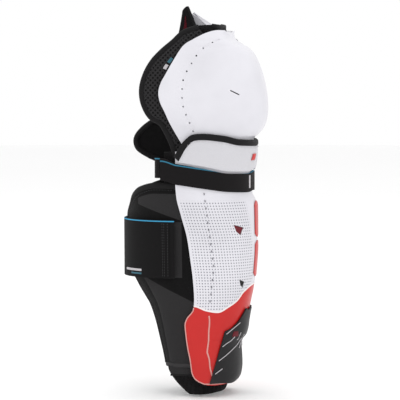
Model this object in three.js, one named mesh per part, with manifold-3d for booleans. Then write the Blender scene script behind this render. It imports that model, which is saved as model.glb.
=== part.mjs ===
// Hockey shin guard, in millimetres.
// X runs across the leg with the outer (lateral) side at -X, Y from front to back with the
// shin's front at -Y, and Z up. The origin is on the leg's axis at the guard's lower edge.
import * as THREE from "three";
import { mergeVertices } from "three/addons/utils/BufferGeometryUtils.js";
import Module from "manifold-3d";

const wasm = await Module();
wasm.setup();

// ---- Driving dimensions ---------------------------------------------------------------
// Outlines below are drawn for a guard of the two drawn sizes and stretched to these.
const overallHeight = 492;
const overallDepth = 184;
const drawnHeight = 492;
const drawnDepth = 184;

const kneeHalfWidth = 73;
const shinHalfWidth = 64;
const ankleHalfWidth = 47.5;
const collarEase = 5.6;

const shellWall = 3;
const capWall = 3;
const capFoamThickness = 8;
const linerThickness = 8;
const kneeLinerThickness = 4;
const ankleFoamThickness = 9;
const wrapThickness = 3.5;
const wingThickness = 3;
const collarThickness = 4.2;
const guardThickness = 1.9;
const stripThickness = 1.2;
const strapThickness = 2.2;
const hookThickness = 1;
const bindingDiameter = 6;

const calfStrapTop = 224;
const calfStrapBottom = 151;
const upperStrapWidth = 25;
const hingeReach = -22;
const gap = 0.35;
const edgeGap = 0.7;
const plateEase = 0.5;
const stripEase = 0.85;
const drawnKneeHalfWidth = 73;
const drawnShinHalfWidth = 64;

// ---- Curves and surfaces --------------------------------------------------------------
const tall = overallHeight / drawnHeight;
const deep = overallDepth / drawnDepth;

// A place on the guard from its distance across, its reach forward and its height.
function place(across, reach, height) {
  return new THREE.Vector3(across, -reach * deep, height * tall);
}

// A smooth value through [at, value] pairs that never swings past its pairs.
function through(pairs) {
  const rise = [];
  for (let i = 0; i < pairs.length - 1; i += 1) {
    rise.push((pairs[i + 1][1] - pairs[i][1]) / (pairs[i + 1][0] - pairs[i][0]));
  }
  const slope = pairs.map((pair, i) => {
    if (i === 0 || i === pairs.length - 1 || rise[i - 1] * rise[i] <= 0) {
      return 0;
    }
    return (2 * rise[i - 1] * rise[i]) / (rise[i - 1] + rise[i]);
  });
  return (at) => {
    const last = pairs.length - 1;
    if (at <= pairs[0][0]) {
      return pairs[0][1];
    }
    if (at >= pairs[last][0]) {
      return pairs[last][1];
    }
    const i = pairs.findIndex((pair, index) => index < last && at <= pairs[index + 1][0]);
    const width = pairs[i + 1][0] - pairs[i][0];
    const t = (at - pairs[i][0]) / width;
    const keep = (1 + 2 * t) * (1 - t) ** 2;
    const lead = t * (1 - t) ** 2 * width * slope[i];
    const next = t * t * (3 - 2 * t);
    const trail = t * t * (t - 1) * width * slope[i + 1];
    return keep * pairs[i][1] + lead + next * pairs[i + 1][1] + trail;
  };
}

// A smooth line in space through [across, reach, height] points, walked at an even pace as
// drawn and then stretched, so that two lines keep step at any size.
function route(points) {
  const drawn = points.map(([across, reach, height]) => new THREE.Vector3(across, -reach, height));
  const line = new THREE.CatmullRomCurve3(drawn, false, "centripetal");
  line.arcLengthDivisions = 400;
  const fit = new THREE.Vector3(1, deep, tall);
  return (share) => line.getPointAt(THREE.MathUtils.clamp(share, 0, 1)).multiply(fit);
}

// Shares of width and of depth along a rounded quarter section, from its front to its side.
function quarter(share, fullness = 2.25) {
  const angle = (share * Math.PI) / 2;
  const across = Math.sin(angle);
  const ahead = Math.cos(angle);
  const size = (Math.abs(across) ** fullness + Math.abs(ahead) ** fullness) ** (-1 / fullness);
  return [size * across, size * ahead];
}

function blendLine(from, to) {
  return (share) => from + (to - from) * share;
}

// The wall direction of a surface, pointing away from the leg.
function outward(surface, s, t) {
  const step = 1e-3;
  const [s0, s1] = [Math.max(0, s - step), Math.min(1, s + step)];
  const [t0, t1] = [Math.max(0, t - step), Math.min(1, t + step)];
  const alongS = surface(s1, t).sub(surface(s0, t));
  const alongT = surface(s, t1).sub(surface(s, t0));
  return alongS.cross(alongT).normalize();
}

// A closed sheet between two offsets from a surface over s and t from 0 to 1. A level sheet
// takes its thickness sideways only, so that its ends stay flat.
function sheet(surface, stepsS, stepsT, inner, outer, level = false) {
  const centre = surface(0.5, 0.5);
  const facing = outward(surface, 0.5, 0.5);
  const away = new THREE.Vector3(centre.x, centre.y, 0);
  const side = facing.dot(away) < 0 ? -1 : 1;
  const row = stepsT + 1;
  const layer = (stepsS + 1) * row;
  const positions = [];
  for (const offset of [inner, outer]) {
    for (let i = 0; i <= stepsS; i += 1) {
      for (let j = 0; j <= stepsT; j += 1) {
        const [s, t] = [i / stepsS, j / stepsT];
        const at = surface(s, t);
        const wall = outward(surface, s, t);
        if (level) {
          wall.setZ(0).normalize();
        }
        at.addScaledVector(wall, side * offset);
        positions.push(at.x, at.y, at.z);
      }
    }
  }
  const index = [];
  const quad = (a, b, c, d) => index.push(a, b, c, a, c, d);
  for (let i = 0; i < stepsS; i += 1) {
    for (let j = 0; j < stepsT; j += 1) {
      const a = i * row + j;
      quad(a, a + 1, a + row + 1, a + row);
      quad(layer + a, layer + a + row, layer + a + row + 1, layer + a + 1);
    }
  }
  for (let i = 0; i < stepsS; i += 1) {
    const [a, b] = [i * row, (i + 1) * row];
    quad(a, b, layer + b, layer + a);
    quad(a + stepsT, layer + a + stepsT, layer + b + stepsT, b + stepsT);
  }
  for (let j = 0; j < stepsT; j += 1) {
    const far = stepsS * row;
    quad(j, layer + j, layer + j + 1, j + 1);
    quad(far + j, far + j + 1, layer + far + j + 1, layer + far + j);
  }
  const geometry = new THREE.BufferGeometry();
  geometry.setAttribute("position", new THREE.Float32BufferAttribute(positions, 3));
  geometry.setIndex(index);
  return facingOut(geometry);
}

function facingOut(geometry) {
  const at = geometry.getAttribute("position");
  const index = geometry.getIndex().array;
  const [a, b, c] = [new THREE.Vector3(), new THREE.Vector3(), new THREE.Vector3()];
  let volume = 0;
  for (let i = 0; i < index.length; i += 3) {
    a.fromBufferAttribute(at, index[i]);
    b.fromBufferAttribute(at, index[i + 1]);
    c.fromBufferAttribute(at, index[i + 2]);
    volume += a.dot(b.cross(c));
  }
  if (volume < 0) {
    for (let i = 0; i < index.length; i += 3) {
      [index[i + 1], index[i + 2]] = [index[i + 2], index[i + 1]];
    }
  }
  return geometry;
}

// A round sewn edge along a line given by its share from 0 to 1.
function edging(line, steps, diameter = bindingDiameter) {
  const samples = [];
  for (let i = 0; i <= steps; i += 1) {
    samples.push(line(i / steps));
  }
  const section = new THREE.Shape();
  const sides = 6;
  for (let i = 0; i < sides; i += 1) {
    const angle = (i / sides) * 2 * Math.PI;
    const [x, y] = [(diameter / 2) * Math.cos(angle), (diameter / 2) * Math.sin(angle)];
    if (i === 0) {
      section.moveTo(x, y);
    } else {
      section.lineTo(x, y);
    }
  }
  const path = new THREE.CatmullRomCurve3(samples, false, "centripetal");
  return new THREE.ExtrudeGeometry(section, { steps, extrudePath: path, curveSegments: 1 });
}

// ---- Booleans -------------------------------------------------------------------------
function toSolid(geometry) {
  const bare = geometry.clone();
  bare.deleteAttribute("normal");
  bare.deleteAttribute("uv");
  const welded = mergeVertices(bare, 1e-4);
  return new wasm.Manifold(new wasm.Mesh({
    numProp: 3,
    vertProperties: new Float32Array(welded.getAttribute("position").array),
    triVerts: new Uint32Array(welded.getIndex().array),
  }));
}

function fromSolid(solid) {
  const mesh = solid.getMesh();
  const geometry = new THREE.BufferGeometry();
  geometry.setAttribute("position", new THREE.Float32BufferAttribute(mesh.vertProperties, 3));
  geometry.setIndex(Array.from(mesh.triVerts));
  return geometry;
}

function cut(geometry, cutters) {
  let solid = toSolid(geometry);
  for (const cutter of cutters) {
    solid = solid.subtract(toSolid(cutter));
  }
  return fromSolid(solid);
}

// ---- Shin outline ---------------------------------------------------------------------
const shellTop = 310;
const shellBottom = 16;
const calfHeight = 270;
const ankleHeight = 40;

const shinFront = through([
  [16, 43], [20, 47], [26, 50], [38, 51.5], [52, 51], [63, 50], [70, 51], [76, 56.5],
  [86, 59.5], [94, 60.5], [113, 64], [135, 68.5], [156, 71], [188, 73], [238, 72.5], [247, 70.5],
  [256, 66.4], [330, 66],
]);
const shinRear = through([
  [16, 17], [19, 9], [25, 1], [32, -2], [47, -4], [63, -7], [79, -9], [92, -10], [99, -8],
  [112, 1], [126, 2], [146, 1], [177, -2.5], [202, -6], [229, -13], [254, -19], [271, -20],
]);

function halfWidthAt(height) {
  const share = THREE.MathUtils.clamp((height - ankleHeight) / (calfHeight - ankleHeight), 0, 1);
  return blendLine(ankleHalfWidth, shinHalfWidth)(share);
}

// The shell's outer face: u runs from the lateral edge (-1) over the front (0) to the medial.
function shinFace(u, height) {
  const [across, ahead] = quarter(Math.abs(u));
  const reach = blendLine(shinRear(height), shinFront(height))(ahead);
  return place(Math.sign(u) * halfWidthAt(height) * across, reach, height);
}

// The height a share t of the way up a list of row heights.
function rowHeight(rows, t) {
  const at = t * (rows.length - 1);
  const row = Math.min(Math.floor(at), rows.length - 2);
  return blendLine(rows[row], rows[row + 1])(at - row);
}

// The share u at which the shell's face has come back to a reach.
function shareAtReach(reach, height) {
  let [low, high] = [0, 1];
  for (let i = 0; i < 24; i += 1) {
    const middle = (low + high) / 2;
    const ahead = quarter(middle)[1];
    if (blendLine(shinRear(height), shinFront(height))(ahead) > reach) {
      low = middle;
    } else {
      high = middle;
    }
  }
  return low;
}

// A patch of the shell's face between two shares u and two heights, each free to vary.
function shinPatch(shareLimit, bottom, top) {
  return (s, t) => {
    const guess = blendLine(-1, 1)(s);
    const height = blendLine(bottom(Math.abs(guess)), top(Math.abs(guess)))(t);
    return shinFace(guess * shareLimit(height), height);
  };
}

const root = new THREE.Group();

function addPiece(name, geometry, look) {
  const material = new THREE.MeshStandardMaterial(look);
  const mesh = new THREE.Mesh(geometry, material);
  mesh.name = name;
  root.add(mesh);
}

const whitePlastic = { color: 0xe6e4ea, roughness: 0.38, metalness: 0 };
const redPlastic = { color: 0xcd2d2a, roughness: 0.4, metalness: 0 };
const blackPlastic = { color: 0x1b1a1a, roughness: 0.5, metalness: 0 };
const blackFabric = { color: 0x191818, roughness: 0.9, metalness: 0 };
const greyFabric = { color: 0x343333, roughness: 0.95, metalness: 0 };
const meshFabric = { color: 0x2d2c2e, roughness: 0.9, metalness: 0 };
const redFabric = { color: 0x82001a, roughness: 0.85, metalness: 0 };
const foam = { color: 0x26262a, roughness: 1, metalness: 0 };
const webbing = { color: 0x141313, roughness: 0.85, metalness: 0 };

// ---- Shin shells ----------------------------------------------------------------------
const colourLine = through([
  [0, 141], [0.15, 140], [0.34, 133], [0.44, 122], [0.56, 114], [0.68, 107], [0.83, 106], [1, 111],
]);

const vents = [
  { name: "upper_vent", share: 0.445, height: 208, wide: 12, high: 13, look: redFabric },
  { name: "lower_vent", share: 0.39, height: 139, wide: 8, high: 10, look: blackPlastic },
];

// A slanted four-sided vent block standing square to the shell's face.
function ventBlock(side, vent, wide, high, inner, outer) {
  const surface = (s, t) => shinFace(side * blendLine(vent.share, vent.share + 0.2)(s),
    blendLine(vent.height, vent.height + 10)(t));
  const middle = surface(0, 0);
  const facing = outward(surface, 0, 0);
  if (facing.y > 0) {
    facing.negate();
  }
  const outline = new THREE.Shape();
  outline.moveTo(-wide / 2, high / 2);
  outline.lineTo(wide / 2, high / 5);
  outline.lineTo(wide / 5, -high / 2);
  outline.lineTo(-wide / 4, -high / 8);
  outline.closePath();
  const block = new THREE.ExtrudeGeometry(outline, { depth: outer - inner, bevelEnabled: false });
  block.translate(0, 0, inner);
  if (side > 0) {
    block.scale(-1, 1, 1);
    const index = mergeVertices(block);
    return facingOut(turnTo(index, middle, facing));
  }
  return turnTo(block, middle, facing);
}

function turnTo(geometry, middle, facing) {
  const right = new THREE.Vector3(0, 0, 1).cross(facing).normalize();
  const up = facing.clone().cross(right);
  const turn = new THREE.Matrix4().makeBasis(right, up, facing).setPosition(middle);
  return geometry.applyMatrix4(turn);
}

const ventCutters = [];
for (const vent of vents) {
  for (const [side, label] of [[-1, "lateral"], [1, "medial"]]) {
    ventCutters.push(ventBlock(side, vent, vent.wide, vent.high, -3 * shellWall, 2 * shellWall));
    const [wide, high] = [vent.wide - 2 * gap, vent.high - 2 * gap];
    addPiece(`${vent.name}_${label}`, ventBlock(side, vent, wide, high, -shellWall, -1.4), vent.look);
  }
}

const shellSteps = 24;
const upperRows = [160, 185, 210, 230, 240, 248, 257, 284, shellTop];
const upperShell = sheet((s, t) => {
  const u = blendLine(-1, 1)(s);
  return shinFace(u, rowHeight([colourLine(Math.abs(u)) + gap, ...upperRows], t));
}, shellSteps, upperRows.length, -shellWall, 0);
addPiece("upper_shell", cut(upperShell, ventCutters), whitePlastic);

const lowerRows = [shellBottom, 20, 26, 38, 52, 63, 70, 76, 86];
addPiece("lower_shell", sheet((s, t) => {
  const u = blendLine(-1, 1)(s);
  return shinFace(u, rowHeight([...lowerRows, colourLine(Math.abs(u))], t));
}, shellSteps, lowerRows.length, -shellWall, 0), redPlastic);

const guardShare = through([
  [16, 0.8], [24, 0.74], [42, 0.64], [55, 0.56], [65, 0.51], [80, 0.5], [88, 0.42],
]);
const guardTop = through([[0, 71], [0.22, 72], [0.42, 84], [0.5, 88]]);
const guardRows = [17, 20, 26, 38, 52, 63];
addPiece("instep_guard", sheet((s, t) => {
  const u = blendLine(-1, 1)(s);
  const height = rowHeight([...guardRows, guardTop(Math.abs(u) * 0.5)], t);
  return shinFace(u * guardShare(height), height);
}, 16, guardRows.length, gap + plateEase, gap + plateEase + guardThickness), blackPlastic);

const stripShare = () => 0.13;
addPiece("upper_front_strip", sheet(
  shinPatch(stripShare, () => 200, () => 246), 4, 4, stripEase, stripEase + stripThickness), redPlastic);
addPiece("lower_front_strip", sheet(
  shinPatch(stripShare, () => 150, () => 196), 4, 3, stripEase, stripEase + stripThickness), redPlastic);

// ---- Shin padding ---------------------------------------------------------------------
// The liner bridges the dips of the shell above it instead of following them.
const linerSetback = 12;
const linerBottom = 44;
const linerEase = 1;
function linerFace(s, t) {
  const u = blendLine(-1, 1)(s);
  const height = blendLine(linerBottom, shellTop)(t);
  const inset = shellWall + linerEase;
  const front = Math.min(...[-12, 0, 12].map((rise) => shinFront(height + rise))) - inset;
  const rear = shinRear(height) + linerSetback;
  const end = shareAtReach(rear, height);
  const [across, ahead] = quarter(Math.abs(u) * end);
  const reach = blendLine(shinRear(height), front)(ahead);
  return place(Math.sign(u) * (halfWidthAt(height) - inset) * across, reach, height);
}
addPiece("shin_liner", sheet(linerFace, 16, 9, -linerThickness, 0), foam);

// The ankle pad wraps the lower leg inside the shell and shows below its lower edge.
const anklePadTop = 40.5;
const ankleFront = through([[0, 29], [3, 32], [8, 35], [14, 36.5], [20, 39.5], [28, 44.5], [45, 46.5]]);
const ankleRear = through([[0, -2], [3, -9], [8, -16], [15, -23], [23, -29], [36, -34], [45, -34]]);
function ankleFace(u, height) {
  const [across, ahead] = quarter(Math.abs(u));
  const inset = shellWall + 2 * gap;
  const taper = through([[0, 3], [16, 0], [40, 0]]);
  const half = ankleHalfWidth - inset - taper(height);
  const reach = blendLine(ankleRear(height), ankleFront(height))(ahead);
  return place(Math.sign(u) * half * across, reach, height);
}
addPiece("ankle_pad", sheet(
  (s, t) => ankleFace(blendLine(-1, 1)(s), anklePadTop * t), 18, 5, -ankleFoamThickness, 0, true), foam);

// ---- Collar ---------------------------------------------------------------------------
const collarFront = through([[284, 71], [289, 72], [297, 73.4], [307, 74.2], [316, 73.4], [326, 72.4]]);
const collarRear = through([[270, -20], [296, -19], [310, -16], [332, -12]]);
// The collar stands off the shell by the same distance at any depth.
const collarStand = 5 * (1 / deep - 1);
function collarFace(u, height) {
  const [across, ahead] = quarter(Math.abs(u));
  const reach = blendLine(collarRear(height), collarFront(height) + collarStand)(ahead);
  return place(Math.sign(u) * (shinHalfWidth + collarEase) * across, reach, height);
}
const collarTop = through([[0, 322], [0.4, 324], [0.6, 329], [0.8, 332], [0.92, 330], [1, 324]]);
const upperStrapTop = through([
  [0, 284.5], [0.2, 281.5], [0.5, 282.5], [0.75, 289], [1, 295], [1.4, 302],
]);
const collarBottom = (u) => upperStrapTop(u) + 2.5;
const collarCorner = 1.5 * bindingDiameter + edgeGap;
const collarSpan = (collarFront(320) + collarStand - collarRear(320)) * deep;
const padShare = 1 - (2 / Math.PI) * Math.asin(collarCorner / collarSpan);
addPiece("collar_pad", sheet((s, t) => {
  const u = blendLine(-padShare, padShare)(s);
  const top = collarTop(Math.abs(u)) - bindingDiameter - edgeGap;
  return collarFace(u, blendLine(collarBottom(Math.abs(u)), top)(t));
}, 20, 4, -collarThickness, 0), whitePlastic);

const collarEdge = (share) => {
  const drop = 0.1;
  const inset = bindingDiameter / 2;
  if (share < drop || share > 1 - drop) {
    const side = share < 0.5 ? -1 : 1;
    const climb = Math.min(share, 1 - share) / drop;
    const height = blendLine(collarBottom(1) + inset, collarTop(1) - inset - 3)(climb);
    return collarFace(side, height);
  }
  const u = blendLine(-0.985, 0.985)((share - drop) / (1 - 2 * drop));
  return collarFace(u, collarTop(Math.abs(u)) - inset);
};
const sunk = (line, depth) => (share) => {
  const at = line(share);
  const inwards = new THREE.Vector3(at.x, at.y, 0).normalize();
  return at.addScaledVector(inwards, -depth);
};
// The binding's inner side stays clear of the knee cap that stands inside the collar.
const collarInside = collarThickness + 0.6;
addPiece("collar_binding", edging(
  sunk(collarEdge, collarInside - bindingDiameter / 2), 30), blackFabric);

// ---- Side panels and calf wraps -------------------------------------------------------
const wrapInset = shellWall + 1.3 * gap;
const panelBow = 0.012;
const wrapSeam = 2.8 * edgeGap;
const flapSeam = 2.5 * edgeGap;
const panelBottom = 41;
const panelTop = 271;
const sides = [{ side: -1, label: "lateral" }, { side: 1, label: "medial" }];

// Outer face of the cloth behind the shell: straight back to the hinge line, then round.
const flapRear = through([
  [41, -38], [53, -40], [73, -45], [98, -52], [118, -60], [124, -64], [137, -73], [148, -80],
  [160, -88], [185, -91], [228, -91], [246, -88],
]);
const flapShare = through([[41, 0.55], [98, 0.62], [137, 0.74], [160, 0.86], [228, 0.86]]);
const flapTop = through([
  [0, 270], [0.25, 270], [0.48, 265], [0.64, 257], [0.76, 247], [0.86, 232],
]);
const hingeGap = 0.6;

function wrapFace(side, share, height) {
  const [turn, ahead] = quarter(share);
  const half = halfWidthAt(height) - wrapInset;
  const depth = (hingeReach - flapRear(height)) / quarter(flapShare(height))[0];
  return place(side * half * ahead, hingeReach - depth * turn, height);
}

// The length of a wrap's section for each unit of its share.
function wrapArc(height) {
  const half = halfWidthAt(height) - wrapInset;
  const depth = (hingeReach - flapRear(height)) / quarter(flapShare(height))[0];
  return (Math.PI / 2) * Math.hypot(half, depth) * Math.SQRT1_2;
}

// A wrap's cloth, kept back from its rear and top edges by an inset for the sewn edge.
function wrapPatch(side, inset) {
  return (s, t) => {
    const top = flapTop(blendLine(0, 0.86)(s)) - inset;
    const height = blendLine(panelBottom, top)(t);
    const first = hingeGap / wrapArc(height);
    return wrapFace(side, blendLine(first, flapShare(height) - inset / wrapArc(height))(s), height);
  };
}

for (const { side, label } of sides) {
  addPiece(`${label}_side_panel`, sheet((s, t) => {
    const height = blendLine(panelBottom, panelTop)(t);
    const reach = blendLine(shinRear(height) + 8, hingeReach + hingeGap / 2)(s);
    const lead = Math.max(0, reach - shinRear(height));
    return place(side * (halfWidthAt(height) - wrapInset - panelBow * lead * lead), reach, height);
  }, 3, 11, -wrapThickness, 0), greyFabric);

  addPiece(`${label}_calf_wrap`, sheet(
    wrapPatch(side, bindingDiameter + wrapSeam), 8, 13, -wrapThickness, 0), blackFabric);
  const edge = wrapPatch(side, bindingDiameter / 2);
  // The sewn edge climbs the wrap's rear edge to its corner and then runs forward along its top.
  const corner = 0.66;
  const topRun = 0.37;
  const edgeLine = (share) => {
    if (share < corner) {
      return edge(1, 0.01 + (0.97 * share) / corner);
    }
    return edge(1 - (share - corner) / topRun, 1);
  };
  addPiece(`${label}_wrap_binding`, edging(
    sunk(edgeLine, wrapThickness / 2), 22), blackFabric);
}

// ---- Calf strap -----------------------------------------------------------------------
// One elastic band from its stitching on the medial wrap round the back to the lateral side.
const strapStandoff = 2 * hookThickness + 3 * gap;
const strapRear = -94.5;
const strapHinge = 0.62;
function strapFace(side, share, height) {
  const [turn, ahead] = quarter(share);
  const half = halfWidthAt(height) - wrapInset + strapStandoff;
  return place(side * half * ahead, hingeReach + (strapRear - hingeReach) * turn, height);
}
function strapWalk(from, to) {
  return (s, t) => {
    const walked = blendLine(from, to)(s);
    const height = blendLine(calfStrapBottom, calfStrapTop)(t);
    return walked <= 1 ? strapFace(-1, walked, height) : strapFace(1, 2 - walked, height);
  };
}
addPiece("calf_strap", sheet(strapWalk(0.03, 2 - strapHinge), 20, 1, 0, strapThickness), webbing);
addPiece("calf_strap_hook_pad", sheet((s, t) => strapFace(
  -1, blendLine(0.05, 0.34)(s), blendLine(calfStrapBottom + 5, calfStrapTop - 5)(t)),
6, 1, -gap - hookThickness, -gap), webbing);
addPiece("calf_strap_anchor", sheet((s, t) => strapFace(
  1, blendLine(0.3, strapHinge - 0.006)(s), blendLine(calfStrapBottom, calfStrapTop)(t)),
6, 1, edgeGap - strapStandoff, strapThickness), webbing);
addPiece("calf_loop_patch", sheet((s, t) => wrapFace(
  -1, blendLine(0.06, 0.36)(s), blendLine(calfStrapBottom + 8, calfStrapTop - 6)(t)),
6, 1, gap, gap + hookThickness), webbing);

// ---- Upper strap ----------------------------------------------------------------------
const upperStrapBottom = through([
  [0, 260], [0.2, 258], [0.5, 259.5], [0.75, 264], [1, 269], [1.4, 274],
]);
const strapTurn = -38;
const strapBack = -56;
function upperStrapPlan(walk, standoff) {
  const share = Math.abs(walk);
  const side = Math.sign(walk);
  const half = shinHalfWidth + standoff;
  if (share <= 1) {
    const [across, ahead] = quarter(share);
    const reach = blendLine(shinRear(calfHeight), 66.5 + standoff)(ahead);
    return [side * half * across, reach];
  }
  if (share <= 1.4) {
    return [side * half, blendLine(shinRear(calfHeight), strapTurn)((share - 1) / 0.4)];
  }
  const [turn, ahead] = quarter((share - 1.4) / 0.8, 4);
  return [side * half * ahead, blendLine(strapTurn, strapBack)(turn)];
}
function upperStrapWalk(from, to, standoff, inset = 0) {
  return (s, t) => {
    const walk = blendLine(from, to)(s);
    const near = Math.min(Math.abs(walk), 1.4);
    const height = blendLine(upperStrapBottom(near) + inset, upperStrapTop(near) - inset)(t);
    return place(...upperStrapPlan(walk, standoff(walk)), height);
  };
}
const snug = gap + 0.15;
addPiece("upper_strap", sheet(
  upperStrapWalk(-1.45, 1.25, () => snug), 32, 1, 0, strapThickness), webbing);
const tailStandoff = snug + strapThickness + 2 * hookThickness + 3 * gap;
addPiece("upper_loop_patch", sheet(
  upperStrapWalk(0.9, 1.2, () => snug, 2), 6, 1, strapThickness + gap,
  strapThickness + gap + hookThickness), webbing);

const tailWalk = (s) => {
  const back = 2.2;
  const first = 1.47;
  const last = 0.86;
  const walked = blendLine(0, back - first + back - last)(s);
  return walked < back - first ? -(first + walked) : 2 * back - first - walked;
};
const tailDrop = 8;
function tailPatch(from, to, inset = 0) {
  return (s, t) => {
    const share = blendLine(from, to)(s);
    const walk = tailWalk(share);
    const medial = THREE.MathUtils.smoothstep(share, 0.1, 0.6);
    const plan = upperStrapPlan(walk, blendLine(snug, tailStandoff)(medial));
    const near = Math.min(Math.abs(walk), 1.4);
    const rest = THREE.MathUtils.smoothstep(Math.abs(walk), 1, 1.5);
    const top = upperStrapTop(near) - tailDrop * rest * medial - inset;
    const width = upperStrapWidth - 2 * inset;
    return place(...plan, blendLine(top - width, top)(t));
  };
}
addPiece("upper_strap_tail", sheet(tailPatch(0, 1), 30, 1, 0, strapThickness), webbing);
addPiece("upper_hook_pad", sheet(tailPatch(0.84, 0.98, 2), 6, 1, -gap - hookThickness, -gap), webbing);

// ---- Knee cap -------------------------------------------------------------------------
// Above the knee's lower end the pieces follow the knee's width, and below the collar's top
// they follow the shin's.
const tuckLow = 334;
const tuckHigh = 385;
function wideAt(height) {
  const share = THREE.MathUtils.smoothstep(height, tuckLow, tuckHigh);
  return blendLine(shinHalfWidth / drawnShinHalfWidth, kneeHalfWidth / drawnKneeHalfWidth)(share);
}
// A line inside the cap keeps its distance from the cap's rim at any width.
const stretch = (points, inside = 0) => points.map(([x, reach, height]) => {
  const across = (Math.abs(x) + inside) * wideAt(height) - inside;
  return [Math.sign(x) * across, reach, height];
});
const mirror = (points) => points.map(([x, reach, height]) => [-x, reach, height]);

// The cap's lower end keeps its distance inside the collar at any depth.
const tucked = (reach, inside) => reach - inside * (1 / deep - 1);
const capSpine = route([
  [0, 39.5, 458], [0, 42.5, 449], [0, 49, 443.5], [0, 60, 438], [0, 68, 431], [0, 77, 413],
  [0, 83, 392], [0, 86, 372], [0, 86, 356], [0, 82, 340], [0, 74, 330],
  [0, tucked(68.6, 1), 325], [0, tucked(67, 1.4), 318],
]);
const rimLateral = [
  [-36, 38, 460], [-47, 28, 460], [-55, 17.8, 457], [-62, 5, 450.5], [-67, -8.5, 442],
  [-71, -21, 423], [-72.5, -30, 407], [-73, -37, 394], [-73, -39.5, 383], [-72, -37.5, 371],
  [-70.5, -32.5, 360], [-68, -27.5, 348], [-65, -21, 335], [-63.4, -14, 323], [-63.2, -11, 318],
];
const rimMedial = [
  [36, 38, 460], [47, 26, 460], [54, 14, 461], [59, 2, 465], [62, -11, 475], [64, -20, 484],
  [67, -25, 468], [70, -28, 440], [71.5, -31, 415], [73, -37, 396], [73, -39.5, 383],
  [72, -37.5, 371], [70.5, -32.5, 360], [68, -27.5, 348], [65, -21, 335], [63.4, -14, 323],
  [63.2, -11, 318],
];
const capRims = { "-1": route(stretch(rimLateral)), 1: route(stretch(rimMedial)) };

// A domed face between a middle line and the rims at both sides; u is -1 or 1 at a rim.
function dome(spine, rims) {
  return (u, v) => {
    const [across, ahead] = quarter(Math.abs(u));
    const rim = rims[u < 0 ? -1 : 1](v);
    const middle = spine(v);
    return new THREE.Vector3(
      rim.x * across, rim.y + (middle.y - rim.y) * ahead, rim.z + (middle.z - rim.z) * ahead);
  };
}
const capFace = dome(capSpine, capRims);
const capSteps = 20;
const capRows = 15;
addPiece("knee_cap_shell", sheet(
  (s, t) => capFace(blendLine(-1, 1)(s), t), capSteps, capRows, -capWall, 0), whitePlastic);
// The foam cup's rows and columns are the cap's own, so that they lie alike.
const foamOuter = -(capWall + linerEase);
const cupShare = 0.7;
const [cupTop, cupBottom] = [4, 13];
addPiece("knee_cap_foam", sheet(
  (s, t) => capFace(blendLine(-cupShare, cupShare)(s), blendLine(cupTop, cupBottom)(t) / capRows),
  cupShare * capSteps, cupBottom - cupTop, foamOuter - capFoamThickness, foamOuter), foam);

const linerSpine = route([
  [0, 31, 467], [0, 36, 452], [0, 50, 430], [0, 63, 405], [0, 69, 375], [0, 67, 352], [0, 60, 334],
]);
const linerRim = [
  [34, 22, 468], [43, 2, 466], [47, -10, 455], [50, -22, 440], [54, -32, 420], [56, -38, 400],
  [56, -40, 380], [55, -36, 360], [54, -28, 343], [53, -22, 334],
];
const linerRims = {
  "-1": route(stretch(mirror(linerRim))),
  1: route(stretch(linerRim)),
};
const kneeLinerFace = dome(linerSpine, linerRims);
addPiece("knee_liner", sheet(
  (s, t) => kneeLinerFace(blendLine(-1, 1)(s), t), 14, 9, -kneeLinerThickness, 0), foam);

// ---- Knee wings -----------------------------------------------------------------------
const wingRoot = [
  [-49, 16, 452], [-54, 6, 441], [-60, -8, 425], [-63, -18, 405], [-64, -26, 385], [-63.5, -24, 368],
  [-61, -18, 350], [-58, -12, 334], [-56.8, -11, 318], [-56.8, -14, 305],
];
const lateralWingEdge = [
  [-49, 6, 467], [-52, -13, 460], [-55, -26, 448], [-57, -40, 436], [-58, -52, 423],
  [-59, -61, 407], [-59.5, -66, 388], [-59.5, -64, 369], [-59.5, -55, 352], [-59, -41, 342],
  [-58.2, -31, 325], [-57, -25, 308], [-56.5, -24, 300],
];
const wingInside = 7;
const flapInside = 14;
const wings = {
  lateral: {
    side: -1,
    inner: route(stretch(wingRoot, wingInside)),
    outer: route(stretch(lateralWingEdge, wingInside)),
  },
  medial: {
    side: 1,
    inner: route(stretch(mirror(wingRoot), wingInside)),
    outer: route(stretch(mirror(lateralWingEdge), wingInside)),
  },
};
const wingCrown = 0.24;
function wingFace(wing, inset) {
  return (s, t) => {
    const [from, to] = [wing.inner(t), wing.outer(t)];
    const span = from.distanceTo(to);
    const along = wing.outer(t + 0.01).sub(wing.outer(t - 0.01)).normalize();
    const slant = to.clone().sub(from).normalize().cross(along).length();
    const share = s * (1 - inset / Math.max(slant, 0.35) / span);
    const at = from.lerp(to, share);
    at.x += wing.side * wingCrown * span * share * (1 - share);
    return at;
  };
}
for (const [label, wing] of Object.entries(wings)) {
  addPiece(`${label}_wing`, sheet(
    wingFace(wing, bindingDiameter + edgeGap), 4, 22, -wingThickness / 2, wingThickness / 2), meshFabric);
  const edge = wingFace(wing, bindingDiameter / 2);
  addPiece(`${label}_wing_binding`, edging((share) => edge(1, share), 26), blackFabric);
}
// A pointed tab stands on the top of the medial wing, with a coloured lining inside it.
const tabRear = route(stretch(
  [[57, -41.5, 437], [57, -37.5, 452], [56.5, -33.5, 472], [56, -30.5, 490]], wingInside));
const tabFront = route(stretch(
  [[51, -9, 464.5], [53.5, -15.5, 467], [54.5, -20, 477], [55.5, -26, 491]], wingInside));
const tabFace = (s, t) => tabRear(t).lerp(tabFront(t), s);
addPiece("medial_tab", sheet(tabFace, 4, 8, -wingThickness / 2, wingThickness / 2), blackFabric);
addPiece("medial_tab_lining", sheet(
  (s, t) => tabFace(blendLine(0.2, 0.7)(s), blendLine(0.3, 0.75)(t)), 3, 4,
  -wingThickness / 2 - gap - 1, -wingThickness / 2 - gap), redFabric);

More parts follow.
